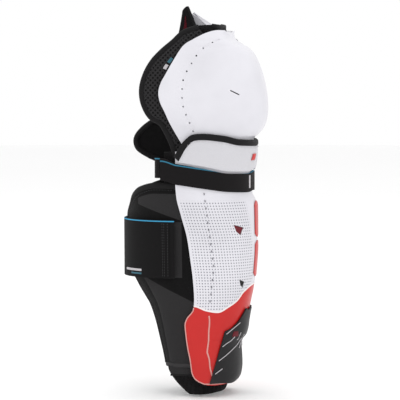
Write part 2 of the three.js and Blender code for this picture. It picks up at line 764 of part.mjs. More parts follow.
// ---- Soft pieces between knee and shin ------------------------------------------------
const bridgeThickness = 3;
const bridgeSeat = 0.5;
const bridgeHang = 1.2;
const [shinDraw, kneeDraw] = [0.9, 0.97];
addPiece("knee_bridge", sheet((s, t) => {
  const u = blendLine(-0.7, 0.7)(s);
  const low = shinFace(u, shellTop).multiply(new THREE.Vector3(shinDraw, shinDraw, 1));
  const high = kneeLinerFace(u, 1).multiply(new THREE.Vector3(kneeDraw, kneeDraw, 1));
  low.z += bridgeSeat;
  high.z -= bridgeHang;
  return low.lerp(high, t);
}, 14, 2, -bridgeThickness / 2, bridgeThickness / 2), blackFabric);

addPiece("lateral_gusset", sheet((s, t) => {
  const height = blendLine(panelTop + 1, 297)(t);
  return place(-(shinHalfWidth - wrapInset - 1.5), blendLine(-9, -32)(s), height);
}, 4, 3, -wingThickness, 0), blackFabric);

const flapFront = route(stretch(
  [[56.5, -11, 272], [51.5, -11, 298], [45, -16, 328], [43.5, -38, 350]], flapInside));
const flapEdge = route(stretch([
  [56.5, -32, 272], [52.5, -36, 290], [48, -60, 303], [45, -78, 305], [43, -92, 310], [42.5, -95, 318],
  [42.5, -93, 326], [43, -85, 336], [43.5, -70, 347], [43.5, -53, 354],
], flapInside));
const flapFace = wingFace({ side: 1, inner: flapFront, outer: flapEdge }, bindingDiameter + flapSeam);
addPiece("medial_flap", sheet(flapFace, 4, 12, -wingThickness / 2, wingThickness / 2), blackFabric);
const flapLine = wingFace({ side: 1, inner: flapFront, outer: flapEdge }, bindingDiameter / 2);
addPiece("medial_flap_binding", edging((share) => flapLine(1, share), 18), blackFabric);

export default root;
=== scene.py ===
import math

import bmesh
import bpy
from mathutils import Matrix, Vector


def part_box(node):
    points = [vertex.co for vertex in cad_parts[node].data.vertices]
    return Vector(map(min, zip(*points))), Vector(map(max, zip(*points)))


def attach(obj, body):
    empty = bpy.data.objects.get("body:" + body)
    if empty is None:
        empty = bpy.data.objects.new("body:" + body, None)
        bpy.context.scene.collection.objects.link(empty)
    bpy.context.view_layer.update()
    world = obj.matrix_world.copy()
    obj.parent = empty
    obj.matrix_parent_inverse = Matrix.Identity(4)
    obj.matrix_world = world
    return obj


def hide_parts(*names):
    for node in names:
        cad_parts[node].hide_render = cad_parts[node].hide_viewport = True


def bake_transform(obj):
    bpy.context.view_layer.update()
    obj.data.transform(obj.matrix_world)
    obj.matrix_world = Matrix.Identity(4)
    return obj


bl_info = {
    "name": "Hockey shin guard",
    "version": (1, 0, 0),
    "blender": (4, 5, 0),
    "location": "View3D > Sidebar > Shin guard",
    "description": "Dresses the packed shin guard with its shells, pads, cloth and straps",
    "category": "Object",
}

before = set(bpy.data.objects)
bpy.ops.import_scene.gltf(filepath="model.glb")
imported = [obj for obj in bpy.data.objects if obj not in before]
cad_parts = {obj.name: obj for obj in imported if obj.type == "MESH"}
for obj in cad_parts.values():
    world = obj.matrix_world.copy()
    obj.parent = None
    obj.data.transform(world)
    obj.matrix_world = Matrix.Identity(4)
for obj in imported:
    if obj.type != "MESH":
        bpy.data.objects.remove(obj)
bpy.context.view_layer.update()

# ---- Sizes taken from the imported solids, in millimetres -------------------------------------
MM = 0.001
SHELL_TOP = 310
SHELL_LOW, SHELL_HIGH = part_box("upper_shell")
CAP_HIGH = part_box("knee_cap_shell")[1]
TALL = SHELL_HIGH[2] / MM / SHELL_TOP
DEEP = -SHELL_LOW[1] / MM / 73
SHIN_HALF = SHELL_HIGH[0] / MM
WIDE = CAP_HIGH[0] / MM / 73
ANKLE_HALF = 47.5
COLLAR_EASE = 5.6
STRAP_WIDTH = 25
CALF_TOP = 224
CALF_BOTTOM = 151
HINGE_REACH = -22
PANEL_BOTTOM = 41
WRAP_INSET = 3.455
SIDES = ((-1, "lateral"), (1, "medial"))
ACROSS = Vector((1, 0, 0))
# How much of a point's reach and width shows as reach when seen ten degrees ahead of the side.
REACH_SEEN, WIDTH_SEEN = 0.985, 0.174


# ---- Lines and surfaces ---------------------------------------------------------------------
def mix(start, end, share):
    return start + (end - start) * share


def clamp(value, low=0.0, high=1.0):
    return min(max(value, low), high)


def ease(value, low, high):
    """A soft step from 0 at low to 1 at high."""
    share = clamp((value - low) / (high - low))
    return share * share * (3 - 2 * share)


def place(across, reach, height):
    return Vector((across, -reach * DEEP, height * TALL))


def straight(pairs):
    """A value through [at, value] pairs with straight runs between them."""
    def at(position):
        if position <= pairs[0][0]:
            return pairs[0][1]
        for (left, low), (right, high) in zip(pairs, pairs[1:]):
            if position <= right:
                return mix(low, high, (position - left) / (right - left))
        return pairs[-1][1]
    return at


def through(pairs):
    """A smooth value through [at, value] pairs that never swings past them."""
    rise = [(b[1] - a[1]) / (b[0] - a[0]) for a, b in zip(pairs, pairs[1:])]
    slope = [0.0] * len(pairs)
    for i in range(1, len(pairs) - 1):
        if rise[i - 1] * rise[i] > 0:
            slope[i] = 2 * rise[i - 1] * rise[i] / (rise[i - 1] + rise[i])

    def at(position):
        if position <= pairs[0][0]:
            return pairs[0][1]
        if position >= pairs[-1][0]:
            return pairs[-1][1]
        i = next(n for n in range(len(pairs) - 1) if position <= pairs[n + 1][0])
        width = pairs[i + 1][0] - pairs[i][0]
        t = (position - pairs[i][0]) / width
        value = (1 + 2 * t) * (1 - t) ** 2 * pairs[i][1]
        value += t * (1 - t) ** 2 * width * slope[i]
        value += t * t * (3 - 2 * t) * pairs[i + 1][1]
        return value + t * t * (t - 1) * width * slope[i + 1]
    return at


class Route:
    """A smooth line through points, walked at an even pace by its share from 0 to 1."""

    STEPS = 400

    def __init__(self, points):
        self.points = points
        self.table = [0.0]
        last = self.spot(0)
        for i in range(1, self.STEPS + 1):
            now = self.spot(i / self.STEPS)
            self.table.append(self.table[-1] + (now - last).length)
            last = now
        self.length = self.table[-1]

    def spot(self, t):
        count = len(self.points)
        place_in = (count - 1) * t
        i = min(int(place_in), count - 2)
        weight = place_in - i
        p1, p2 = self.points[i], self.points[i + 1]
        p0 = self.points[i - 1] if i > 0 else p1 * 2 - p2
        p3 = self.points[i + 2] if i + 2 < count else p2 * 2 - p1
        d0 = max((p1 - p0).length ** 0.5, 1e-4)
        d1 = max((p2 - p1).length ** 0.5, 1e-4)
        d2 = max((p3 - p2).length ** 0.5, 1e-4)
        m1 = ((p1 - p0) / d0 - (p2 - p0) / (d0 + d1) + (p2 - p1) / d1) * d1
        m2 = ((p2 - p1) / d1 - (p3 - p1) / (d1 + d2) + (p3 - p2) / d2) * d1
        square, cube = weight ** 2, weight ** 3
        return (p1 * (2 * cube - 3 * square + 1) + m1 * (cube - 2 * square + weight)
                + p2 * (3 * square - 2 * cube) + m2 * (cube - square))

    def __call__(self, share):
        goal = clamp(share) * self.length
        low, high = 0, self.STEPS
        while high - low > 1:
            middle = (low + high) // 2
            if self.table[middle] <= goal:
                low = middle
            else:
                high = middle
        step = self.table[high] - self.table[low]
        part = (goal - self.table[low]) / step if step > 0 else 0.0
        return self.spot((low + part) / self.STEPS)


def route(points):
    return Route([place(*point) for point in points])


def quarter(share, fullness=2.25):
    """Shares of width and of depth along a rounded quarter section, from front to side."""
    angle = share * math.pi / 2
    across, ahead = math.sin(angle), math.cos(angle)
    size = (abs(across) ** fullness + abs(ahead) ** fullness) ** (-1 / fullness)
    return size * across, size * ahead


def sign(value):
    return -1 if value < 0 else 1


def outward(surface, s, t):
    step = 1e-3
    s0, s1 = max(0, s - step), min(1, s + step)
    t0, t1 = max(0, t - step), min(1, t + step)
    along_s = surface(s1, t) - surface(s0, t)
    along_t = surface(s, t1) - surface(s, t0)
    wall = along_s.cross(along_t).normalized()
    middle = surface(0.5, 0.5)
    facing = (surface(0.51, 0.5) - middle).cross(surface(0.5, 0.51) - middle)
    return -wall if facing.dot(Vector((middle.x, middle.y, 0))) < 0 else wall


def raised(surface, height):
    """A surface lifted away from the leg; height may be a number or a function of s and t."""
    def lifted(s, t):
        amount = height(s, t) if callable(height) else height
        return surface(s, t) + outward(surface, s, t) * amount
    return lifted


# ---- The guard's own outline ----------------------------------------------------------------
shin_front = through([
    (16, 43), (20, 47), (26, 50), (38, 51.5), (52, 51), (63, 50), (70, 51), (76, 56.5),
    (86, 59.5), (94, 60.5), (113, 64), (135, 68.5), (156, 71), (188, 73), (238, 72.5),
    (247, 70.5), (256, 66.4), (330, 66),
])
shin_rear = through([
    (16, 17), (19, 9), (25, 1), (32, -2), (47, -4), (63, -7), (79, -9), (92, -10), (99, -8),
    (112, 1), (126, 2), (146, 1), (177, -2.5), (202, -6), (229, -13), (254, -19), (271, -20),
])
colour_line = through([
    (0, 141), (0.15, 140), (0.34, 133), (0.44, 122), (0.56, 114.5), (0.68, 108.4), (0.83, 110.6),
    (1, 116),
])
ankle_front = through([(0, 29), (3, 32), (8, 35), (14, 36.5), (20, 39.5), (28, 44.5), (45, 46.5)])
ankle_rear = through([(0, -2), (3, -9), (8, -16), (15, -23), (23, -29), (36, -34), (45, -34)])
ankle_taper = through([(0, 3), (16, 0), (40, 0)])
collar_front = through([(284, 71), (289, 72), (297, 73.4), (307, 74.2), (316, 73.4), (326, 72.4)])
collar_rear = through([(270, -20), (296, -19), (310, -16), (332, -12)])
strap_top = through([(0, 284.5), (0.2, 281.5), (0.5, 282.5), (0.75, 289), (1, 295), (1.4, 302)])
strap_bottom = through([(0, 260), (0.2, 258), (0.5, 259.5), (0.75, 264), (1, 269), (1.4, 274)])
flap_rear = through([
    (41, -38), (53, -40), (73, -45), (98, -52), (118, -60), (124, -64), (137, -73), (148, -80),
    (160, -88), (185, -91), (228, -91), (246, -88),
])
flap_share = through([(41, 0.55), (98, 0.62), (137, 0.74), (160, 0.86), (228, 0.86)])
flap_top = through([(0, 270), (0.25, 270), (0.48, 265), (0.64, 257), (0.76, 247), (0.86, 232)])


def half_width(height):
    return mix(ANKLE_HALF, SHIN_HALF, clamp((height - 40) / 230))


def shin_face(u, height):
    across, ahead = quarter(abs(u))
    reach = mix(shin_rear(height), shin_front(height), ahead)
    return place(sign(u) * half_width(height) * across, reach, height)


def share_at(reach, height):
    """The share u at which the shell's face has come back to a reach."""
    low, high = 0.0, 1.0
    for _ in range(24):
        middle = (low + high) / 2
        if mix(shin_rear(height), shin_front(height), quarter(middle)[1]) > reach:
            low = middle
        else:
            high = middle
    return low


def seen_share(aside, height):
    """The share u at which the face, looked at from ten degrees ahead of its side, stands that
    far forward of the leg's axis."""
    low, high = 0.0, 1.0
    for _ in range(24):
        middle = (low + high) / 2
        at = shin_face(middle, height)
        if -REACH_SEEN * at.y / DEEP - WIDTH_SEEN * abs(at.x) / WIDE > aside:
            low = middle
        else:
            high = middle
    return low


def liner_face(s, t):
    u = mix(-1, 1, s)
    height = mix(44, SHELL_TOP, t)
    front = min(shin_front(height + rise) for rise in (-12, 0, 12)) - 4
    end = share_at(shin_rear(height) + 12, height)
    across, ahead = quarter(abs(u) * end)
    reach = mix(shin_rear(height), front, ahead)
    return place(sign(u) * (half_width(height) - 4) * across, reach, height)


def ankle_face(u, height):
    across, ahead = quarter(abs(u))
    half = ANKLE_HALF - 3.7 - ankle_taper(height)
    reach = mix(ankle_rear(height), ankle_front(height), ahead)
    return place(sign(u) * half * across, reach, height)


def collar_face(u, height):
    across, ahead = quarter(abs(u))
    reach = mix(collar_rear(height), collar_front(height), ahead)
    return place(sign(u) * (SHIN_HALF + COLLAR_EASE) * across, reach, height)


def wrap_face(side, share, height):
    """The cloth behind the shell; a share below 0 is on the side panel in front of the hinge."""
    half = half_width(height) - WRAP_INSET
    if share < 0:
        reach = mix(HINGE_REACH, shin_rear(height) + 8, -share)
        lead = max(0, reach - shin_rear(height))
        return place(side * (half - 0.012 * lead * lead), reach, height)
    turn, ahead = quarter(share)
    depth = (HINGE_REACH - flap_rear(height)) / quarter(flap_share(height))[0]
    return place(side * half * ahead, HINGE_REACH - depth * turn, height)


def calf_strap_face(side, share, height):
    turn, ahead = quarter(share)
    half = half_width(height) - WRAP_INSET + 3.05
    return place(side * half * ahead, HINGE_REACH + (-94.5 - HINGE_REACH) * turn, height)


def calf_band(start, end, inset=0.0):
    def surface(s, t):
        walked = mix(start, end, s)
        height = mix(CALF_BOTTOM + inset, CALF_TOP - inset, t)
        side, share = (-1, walked) if walked <= 1 else (1, 2 - walked)
        return calf_strap_face(side, share, height)
    return surface


def strap_plan(walk, standoff):
    share, side = abs(walk), sign(walk)
    half = SHIN_HALF + standoff
    if share <= 1:
        across, ahead = quarter(share)
        return side * half * across, mix(shin_rear(270), 66.5 + standoff, ahead)
    if share <= 1.4:
        return side * half, mix(shin_rear(270), -38, (share - 1) / 0.4)
    turn, ahead = quarter((share - 1.4) / 0.8, 4)
    return side * half * ahead, mix(-38, -47, turn)


def strap_band(start, end, standoff, inset=0.0):
    def surface(s, t):
        walk = mix(start, end, s)
        near = min(abs(walk), 1.4)
        height = mix(strap_bottom(near) + inset, strap_top(near) - inset, t)
        return place(*strap_plan(walk, standoff), height)
    return surface


def tail_band(start, end, inset=0.0):
    def surface(s, t):
        share = mix(start, end, s)
        walked = mix(0, 2.07, share)
        walk = -(1.47 + walked) if walked < 0.73 else 2.93 - walked
        medial = ease(share, 0.1, 0.6)
        plan = strap_plan(walk, mix(0.5, 5.75, medial))
        near = min(abs(walk), 1.4)
        top = strap_top(near) - 8 * ease(abs(walk), 1, 1.5) * medial - inset
        return place(*plan, mix(top - STRAP_WIDTH + 2 * inset, top, t))
    return surface


def stretch(points, side=1):
    return [(side * x * WIDE, reach, height) for x, reach, height in points]


CAP_SPINE = route([
    (0, 39.5, 458), (0, 42.5, 449), (0, 49, 443.5), (0, 60, 438), (0, 68, 431), (0, 77, 413),
    (0, 83, 392), (0, 86, 372), (0, 86, 356), (0, 82, 340), (0, 74, 330), (0, 68.6, 325),
    (0, 67, 318),
])
RIM_LATERAL = [
    (-36, 38, 460), (-47, 28, 460), (-55, 17.8, 457), (-62, 5, 450.5), (-67, -8.5, 442),
    (-71, -21, 423), (-72.5, -30, 407), (-73, -37, 394), (-73, -39.5, 383), (-72, -37.5, 371),
    (-70.5, -32.5, 360), (-68, -27.5, 348), (-65, -21, 335), (-63.4, -14, 323), (-63.2, -11, 318),
]
RIM_MEDIAL = [
    (36, 38, 460), (47, 26, 460), (54, 14, 461), (59, 2, 465), (62, -11, 475), (64, -20, 484),
    (67, -25, 468), (70, -28, 440), (71.5, -31, 415), (73, -37, 396), (73, -39.5, 383),
    (72, -37.5, 371), (70.5, -32.5, 360), (68, -27.5, 348), (65, -21, 335), (63.4, -14, 323),
    (63.2, -11, 318),
]
CAP_RIMS = {-1: route(stretch(RIM_LATERAL)), 1: route(stretch(RIM_MEDIAL))}


def dome(spine, rims):
    """A domed face between a middle line and the rims at both sides."""
    def face(u, v):
        across, ahead = quarter(abs(u))
        rim, middle = rims[sign(u)](v), spine(v)
        return Vector((rim.x * across, mix(rim.y, middle.y, ahead), mix(rim.z, middle.z, ahead)))
    return face


cap_face = dome(CAP_SPINE, CAP_RIMS)

LINER_SPINE = route([
    (0, 31, 467), (0, 36, 452), (0, 50, 430), (0, 63, 405), (0, 69, 375), (0, 67, 352),
    (0, 60, 334),
])
LINER_RIM = [
    (34, 22, 468), (43, 2, 466), (47, -10, 455), (50, -22, 440), (54, -32, 420), (56, -38, 400),
    (56, -40, 380), (55, -36, 360), (54, -28, 343), (53, -22, 334),
]
knee_liner_face = dome(
    LINER_SPINE, {-1: route(stretch(LINER_RIM, -1)), 1: route(stretch(LINER_RIM))})

WING_ROOT = [
    (-49, 16, 452), (-54, 6, 441), (-60, -8, 425), (-63, -18, 405), (-64, -26, 385),
    (-63.5, -24, 368), (-61, -18, 350), (-58, -12, 334), (-56.8, -11, 318), (-56.8, -14, 305),
]
WING_EDGE = [
    (-49, 6, 467), (-52, -13, 460), (-55, -26, 448), (-57, -40, 436), (-58, -52, 423),
    (-59, -61, 407), (-59.5, -66, 388), (-59.5, -64, 369), (-59.5, -55, 352), (-59, -41, 342),
    (-58.2, -31, 325), (-57, -25, 308), (-56.5, -24, 300),
]
FLAP_FRONT = [(56.5, -11, 272), (51.5, -11, 298), (45, -16, 328), (43.5, -38, 350)]
FLAP_EDGE = [
    (56.5, -32, 272), (54, -46, 281), (50, -62, 290), (46, -79, 298), (43, -92, 308),
    (42.5, -95, 318), (42.5, -93, 326), (43, -85, 336), (43.5, -70, 347), (43.5, -53, 354),
]


def leaf(side, inner, outer, inset, crown=0.24):
    """A flat leaf between two lines, bowed away from the leg and kept back from its outer one."""
    def surface(s, t):
        start, end = inner(t), outer(t)
        span = (end - start).length
        along = (outer(t + 0.01) - outer(t - 0.01)).normalized()
        slant = (end - start).normalized().cross(along).length
        share = s * (1 - inset / max(slant, 0.35) / span)
        at = start.lerp(end, share)
        at.x += side * crown * span * share * (1 - share)
        return at
    return surface


TAB_REAR = route(stretch([
    (57, -41.5, 437), (57, -37.5, 452), (56.5, -33.5, 472), (56, -30.5, 490),
]))
TAB_FRONT = route(stretch([
    (51, -9, 464.5), (53.5, -15.5, 467), (54.5, -20, 477), (55.5, -26, 491),
]))


# ---- Making meshes --------------------------------------------------------------------------
def grid(surface, across, along, maps=None):
    """A bmesh sheet laid over surface(s, t), with a map named flow that holds its lengths in
    metres along s and t. maps names further maps and the function of s, t and place for each."""
    cloth = bmesh.new()
    bmesh.ops.create_grid(cloth, x_segments=across, y_segments=along, size=0.5)
    cloth.verts.ensure_lookup_table()
    shares = [(clamp(round(v.co.x + 0.5, 6)), clamp(round(v.co.y + 0.5, 6))) for v in cloth.verts]
    for corner, (s, t) in zip(cloth.verts, shares):
        corner.co = surface(s, t) * MM
    keys = [(round(s * across), round(t * along)) for s, t in shares]
    spot = {key: corner.co for key, corner in zip(keys, cloth.verts)}
    walked_s, walked_t = {}, {}
    for j in range(along + 1):
        for i in range(across + 1):
            left, below = spot.get((i - 1, j)), spot.get((i, j - 1))
            walked_s[i, j] = walked_s[i - 1, j] + (spot[i, j] - left).length if left else 0.0
            walked_t[i, j] = walked_t[i, j - 1] + (spot[i, j] - below).length if below else 0.0
    layer = cloth.loops.layers.uv.new("flow")
    for face in cloth.faces:
        for loop in face.loops:
            key = keys[loop.vert.index]
            loop[layer].uv = (walked_s[key], walked_t[key])
    for name, chart in (maps or {}).items():
        layer = cloth.loops.layers.uv.new(name)
        for face in cloth.faces:
            for loop in face.loops:
                s, t = shares[loop.vert.index]
                loop[layer].uv = chart(s, t, loop.vert.co)
    cloth.normal_update()
    middle = min(cloth.faces, key=lambda face: sum((share - 0.5) ** 2 for share in
                                                  shares[face.verts[0].index]))
    centre = middle.calc_center_median()
    if middle.normal.dot(Vector((centre.x, centre.y, 0))) < 0:
        bmesh.ops.reverse_faces(cloth, faces=cloth.faces[:])
        cloth.normal_update()
    return cloth, shares


def cloth_area(cloth):
    return sum(face.calc_area() for face in cloth.faces)


def to_object(name, mesh, finish, smooth=True):
    """The bmesh becomes an object with one finish."""
    data = bpy.data.meshes.new(name)
    mesh.to_mesh(data)
    mesh.free()
    if smooth:
        data.shade_smooth()
    data.materials.append(finish)
    piece = bpy.data.objects.new(name, data)
    bpy.context.scene.collection.objects.link(piece)
    return piece


def apply(piece):
    """Makes the piece's modifiers part of its mesh."""
    bpy.context.view_layer.update()
    with bpy.context.temp_override(object=piece, active_object=piece, selected_objects=[piece]):
        for modifier in piece.modifiers[:]:
            bpy.ops.object.modifier_apply(modifier=modifier.name)


def thicken(piece, thickness, offset=-1.0):
    wall = piece.modifiers.new("wall", "SOLIDIFY")
    wall.thickness = thickness * MM
    wall.offset = offset
    wall.use_even_offset = False
    wall.use_quality_normals = True
    return wall


def round_edges(piece, width, segments=3, angle=50):
    edge = piece.modifiers.new("edge", "BEVEL")
    edge.width = width * MM
    edge.segments = segments
    edge.limit_method = "ANGLE"
    edge.angle_limit = math.radians(angle)
    edge.profile = 0.5
    edge.harden_normals = False
    return edge


def soften(piece, levels=1):
    smooth = piece.modifiers.new("smooth", "SUBSURF")
    smooth.levels = levels
    smooth.render_levels = levels
    return smooth


def stand_for(piece, body, slot, *nodes):
    """The piece moves with a body and stands for solids, which it hides. slot is not used."""
    if nodes:
        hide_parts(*nodes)
    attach(piece, body)
    return piece


def plate(name, surface, cells, look, thickness, body, slot, nodes=(), edge=None, offset=-1.0):
    """A thin piece over a surface, its edges rounded where edge gives a width and segments."""
    cloth, _ = grid(surface, *cells)
    piece = to_object(name, cloth, finish(look))
    thicken(piece, thickness, offset)
    if edge:
        round_edges(piece, *edge)
    return stand_for(piece, body, slot, *nodes)


def cut_with(piece, cutter):
    """Takes the cutter out of the piece and then deletes the cutter."""
    tool = piece.modifiers.new("cut", "BOOLEAN")
    tool.operation = "DIFFERENCE"
    tool.solver = "EXACT"
    tool.object = cutter
    apply(piece)
    bpy.data.objects.remove(cutter)


def crisp(piece, angle=35):
    piece.data.set_sharp_from_angle(angle=math.radians(angle))


def frame_at(line, share, facing):
    """The place, direction, side and facing of a line on a surface at a share of its length."""
    step = 2e-3
    ahead = (line(min(1, share + step)) - line(max(0, share - step))).normalized()
    out = facing(share)
    out = (out - ahead * out.dot(ahead)).normalized()
    return line(share), ahead, ahead.cross(out), out


def turned_out(line, centre=0.0, ahead=1.0):
    """The level direction in which a line's points face away from an upright axis."""
    def facing(share):
        at = line(share)
        return Vector((at.x, (at.y - centre) * ahead, 0)).normalized()
    return facing


def inward(at, amount, centre=0.0):
    """A point moved level towards an upright axis."""
    return at - Vector((at.x, at.y - centre, 0)).normalized() * amount


def tape(name, line, facing, finish, wide, thick, steps, fullness=2.6, sides=16):
    """A folded tape sewn over an edge: a flattened tube that turns with its surface."""
    def skin(s, t):
        at, _, side, out = frame_at(line, t, facing)
        angle = -2 * math.pi * s
        across, up = math.cos(angle), math.sin(angle)
        size = (abs(across) ** fullness + abs(up) ** fullness) ** (-1 / fullness)
        return at + side * (size * across * wide / 2) + out * (size * up * thick / 2)
    tube, shares = grid(skin, sides, steps)
    rims = [[v for v, (s, t) in zip(tube.verts, shares) if t == end and s < 1] for end in (0, 1)]
    for rim in rims:
        centre = sum((v.co for v in rim), Vector()) / len(rim)
        point = tube.verts.new(centre)
        ring = sorted(rim, key=lambda v: shares[v.index][0] if v.index >= 0 else 0)
        for first, second in zip(ring, ring[1:] + ring[:1]):
            tube.faces.new((first, second, point))
    bmesh.ops.remove_doubles(tube, verts=tube.verts[:], dist=1e-6)
    bmesh.ops.recalc_face_normals(tube, faces=tube.faces[:])
    return to_object(name, tube, finish)


def stitches(name, line, facing, finish, length=2.2, space=3.6, width=0.75, lift=0.0):
    """A row of short thread stitches lying on a surface."""
    total = sum((line((i + 1) / 60) - line(i / 60)).length for i in range(60))
    rows = bmesh.new()
    thread = bmesh.new()
    bmesh.ops.create_cube(thread, size=1.0)
    bmesh.ops.bevel(thread, geom=thread.edges[:], offset=0.3, offset_type="OFFSET", segments=1,
                    profile=0.5, affect="EDGES", material=-1)
    stitch = bpy.data.meshes.new("stitch")
    thread.to_mesh(stitch)
    thread.free()
    count = int(total / space)
    for i in range(count):
        share = (i + 0.5) / count
        at, ahead, side, out = frame_at(line, share, facing)
        basis = Matrix((ahead * length, side * width, out * width * 0.8)).transposed().to_4x4()
        basis.translation = at + out * lift
        start = len(rows.verts)
        rows.from_mesh(stitch)
        rows.verts.ensure_lookup_table()
        bmesh.ops.transform(rows, matrix=Matrix.Scale(MM, 4) @ basis, verts=rows.verts[start:])
    bpy.data.meshes.remove(stitch)
    return to_object(name, rows, finish)


def stuff(piece, hold, pressure=4.0, reach=2.0, frames=20):
    """Blows up a closed two-layer piece as cloth filled with foam. Its seams are held by the
    group named hold, and no point moves further than reach millimetres."""
    start = [corner.co.copy() for corner in piece.data.vertices]
    cloth = piece.modifiers.new("fill", "CLOTH")
    cloth.settings.quality = 5
    cloth.settings.mass = 0.15
    cloth.settings.tension_stiffness = 12
    cloth.settings.compression_stiffness = 12
    cloth.settings.bending_stiffness = 0.6
    cloth.settings.use_pressure = True
    cloth.settings.uniform_pressure_force = pressure
    cloth.settings.vertex_group_mass = hold
    cloth.settings.pin_stiffness = 1.0
    cloth.settings.effector_weights.gravity = 0.0
    cloth.collision_settings.use_collision = False
    cloth.point_cache.frame_start = 1
    cloth.point_cache.frame_end = frames
    for moment in range(1, frames + 1):
        bpy.context.scene.frame_set(moment)
    graph = bpy.context.evaluated_depsgraph_get()
    swollen = [corner.co.copy() for corner in piece.evaluated_get(graph).data.vertices]
    piece.modifiers.remove(cloth)
    bpy.context.scene.frame_set(1)
    for corner, old, new in zip(piece.data.vertices, start, swollen):
        move = new - old
        if move.length > reach * MM:
            move *= reach * MM / move.length
        corner.co = old + move
    piece.data.update()


def no_seam(s, t):
    """For a pad that is sewn along its edge alone."""
    return 0.0


def pad(name, surface, across, along, thickness, finish, held, offset=-1.0, pressure=4.0,
        reach=2.0, maps=None, smooth=1):
    """A stitched pad: two layers over a surface, held together where held(s, t) says."""
    cloth, shares = grid(surface, across, along, maps)
    piece = to_object(name, cloth, finish)
    group = piece.vertex_groups.new(name="hold")
    for index, (s, t) in enumerate(shares):
        edge = s in (0, 1) or t in (0, 1)
        group.add([index], 1.0 if edge else clamp(held(s, t)), "REPLACE")
    thicken(piece, thickness, offset)
    apply(piece)
    stuff(piece, "hold", pressure, reach)
    if smooth:
        soften(piece, smooth)
    return piece


# ---- Finishes -------------------------------------------------------------------------------
class Finish:
    """A material under construction, with short words for the nodes that make its pattern."""

    def __init__(self, name, colour, rough, specular=0.5, sheen=0.0, coat=0.0):
        self.material = bpy.data.materials.new(name)
        self.material.use_nodes = True
        self.tree = self.material.node_tree
        self.shader = self.tree.nodes["Principled BSDF"]
        self.colour = (*colour, 1)
        self.shader.inputs["Base Color"].default_value = self.colour
        self.shader.inputs["Roughness"].default_value = rough
        self.shader.inputs["Specular IOR Level"].default_value = specular
        self.shader.inputs["Sheen Weight"].default_value = sheen
        self.shader.inputs["Sheen Roughness"].default_value = 0.5
        self.shader.inputs["Coat Weight"].default_value = coat
        self.shader.inputs["Coat Roughness"].default_value = 0.2
        self.material.diffuse_color = self.colour
        self.relief = None

    def node(self, kind, settings=None, **values):
        made = self.tree.nodes.new("ShaderNode" + kind)
        for key, value in (settings or {}).items():
            setattr(made, key, value)
        for key, value in values.items():
            self.feed(made.inputs[key.replace("_", " ")], value)
        return made

    def feed(self, socket, value):
        if isinstance(value, bpy.types.NodeSocket):
            self.tree.links.new(value, socket)
        else:
            socket.default_value = value

    def math(self, operation, first, second=0.0, third=0.0):
        made = self.tree.nodes.new("ShaderNodeMath")
        made.operation = operation
        for socket, value in zip(made.inputs, (first, second, third)):
            self.feed(socket, value)
        return made.outputs[0]

    def blend(self, share, first, second, way="MIX"):
        made = self.tree.nodes.new("ShaderNodeMix")
        made.data_type = "RGBA"
        made.blend_type = way
        for index, value in ((0, share), (6, first), (7, second)):
            value = (*value, 1) if isinstance(value, tuple) and len(value) == 3 else value
            self.feed(made.inputs[index], value)
        return made.outputs[2]

    def object_place(self):
        return self.node("TexCoord").outputs["Object"]

    def chart(self, name="flow"):
        return self.node("UVMap", {"uv_map": name}).outputs["UV"]

    def parts(self, vector):
        split = self.node("SeparateXYZ", Vector=vector)
        return split.outputs[0], split.outputs[1], split.outputs[2]

    def noise(self, vector, per_mm, detail=2.0, rough=0.5):
        made = self.node("TexNoise", Vector=vector, Scale=per_mm * 1000, Detail=detail,
                         Roughness=rough)
        return made.outputs["Fac"]

    def ramp(self, value, low, high, start=0.0, end=1.0):
        made = self.node("MapRange", {"interpolation_type": "SMOOTHSTEP"}, Value=value)
        for socket, setting in zip(made.inputs[1:5], (low, high, start, end)):
            socket.default_value = setting
        return made.outputs[0]

    def dots(self, vector, pitch, size, stagger=False, soft=0.25):
        """1 inside round dots of a grid with that pitch and diameter in millimetres."""
        u, v, _ = self.parts(vector)
        found = None
        for shift in ((0, 0.5) if stagger else (0,)):
            squares = []
            for along, step in ((u, pitch[0] * MM), (v, pitch[1] * MM)):
                turns = self.math("MULTIPLY_ADD", along, 1 / step, shift + 100.25)
                cell = self.math("FRACT", turns)
                away = self.math("MULTIPLY", self.math("SUBTRACT", cell, 0.5), step / MM)
                squares.append(self.math("MULTIPLY", away, away))
            apart = self.math("SQRT", self.math("ADD", *squares))
            dot = self.ramp(apart, size / 2 * (1 - soft), size / 2 * (1 + soft), 1.0, 0.0)
            found = dot if found is None else self.math("MAXIMUM", found, dot)
        return found

    def ribs(self, along, pitch, duty=0.5):
        """A rounded rib in every pitch, in millimetres, along one part of a map."""
        turn = self.math("MULTIPLY", along, 2 * math.pi / (pitch * MM))
        return self.math("MULTIPLY_ADD", self.math("SINE", turn), 0.5, duty)

    def band(self, along, start, end, soft=0.15):
        """1 where one part of a map lies between start and end millimetres."""
        rise = self.ramp(along, (start - soft) * MM, (start + soft) * MM)
        fall = self.ramp(along, (end - soft) * MM, (end + soft) * MM, 1.0, 0.0)
        return self.math("MULTIPLY", rise, fall)

    def bump(self, height, depth, strength=1.0):
        """Adds relief: height from 0 to 1 times depth millimetres."""
        made = self.node("Bump", Strength=strength, Distance=depth * MM, Height=height)
        if self.relief is not None:
            self.tree.links.new(self.relief, made.inputs["Normal"])
        self.relief = made.outputs["Normal"]
        self.tree.links.new(self.relief, self.shader.inputs["Normal"])

    def painted_edge_highlight(self, colour, highlight_colour, amount=0.35):
        """Painted highlight: convex edges a little lighter, broken up by noise."""
        point = self.node("NewGeometry").outputs["Pointiness"]
        edge = self.ramp(point, 0.53, 0.62, 0.0, amount)
        highlight_breakup = self.noise(self.object_place(), 0.09, 4.0, 0.6)
        return self.blend(self.math("MULTIPLY", edge, highlight_breakup), colour, highlight_colour)

    def done(self, colour=None, rough=None):
        if colour is not None:
            self.tree.links.new(colour, self.shader.inputs["Base Color"])
        if rough is not None:
            self.tree.links.new(rough, self.shader.inputs["Roughness"])
        return self.material


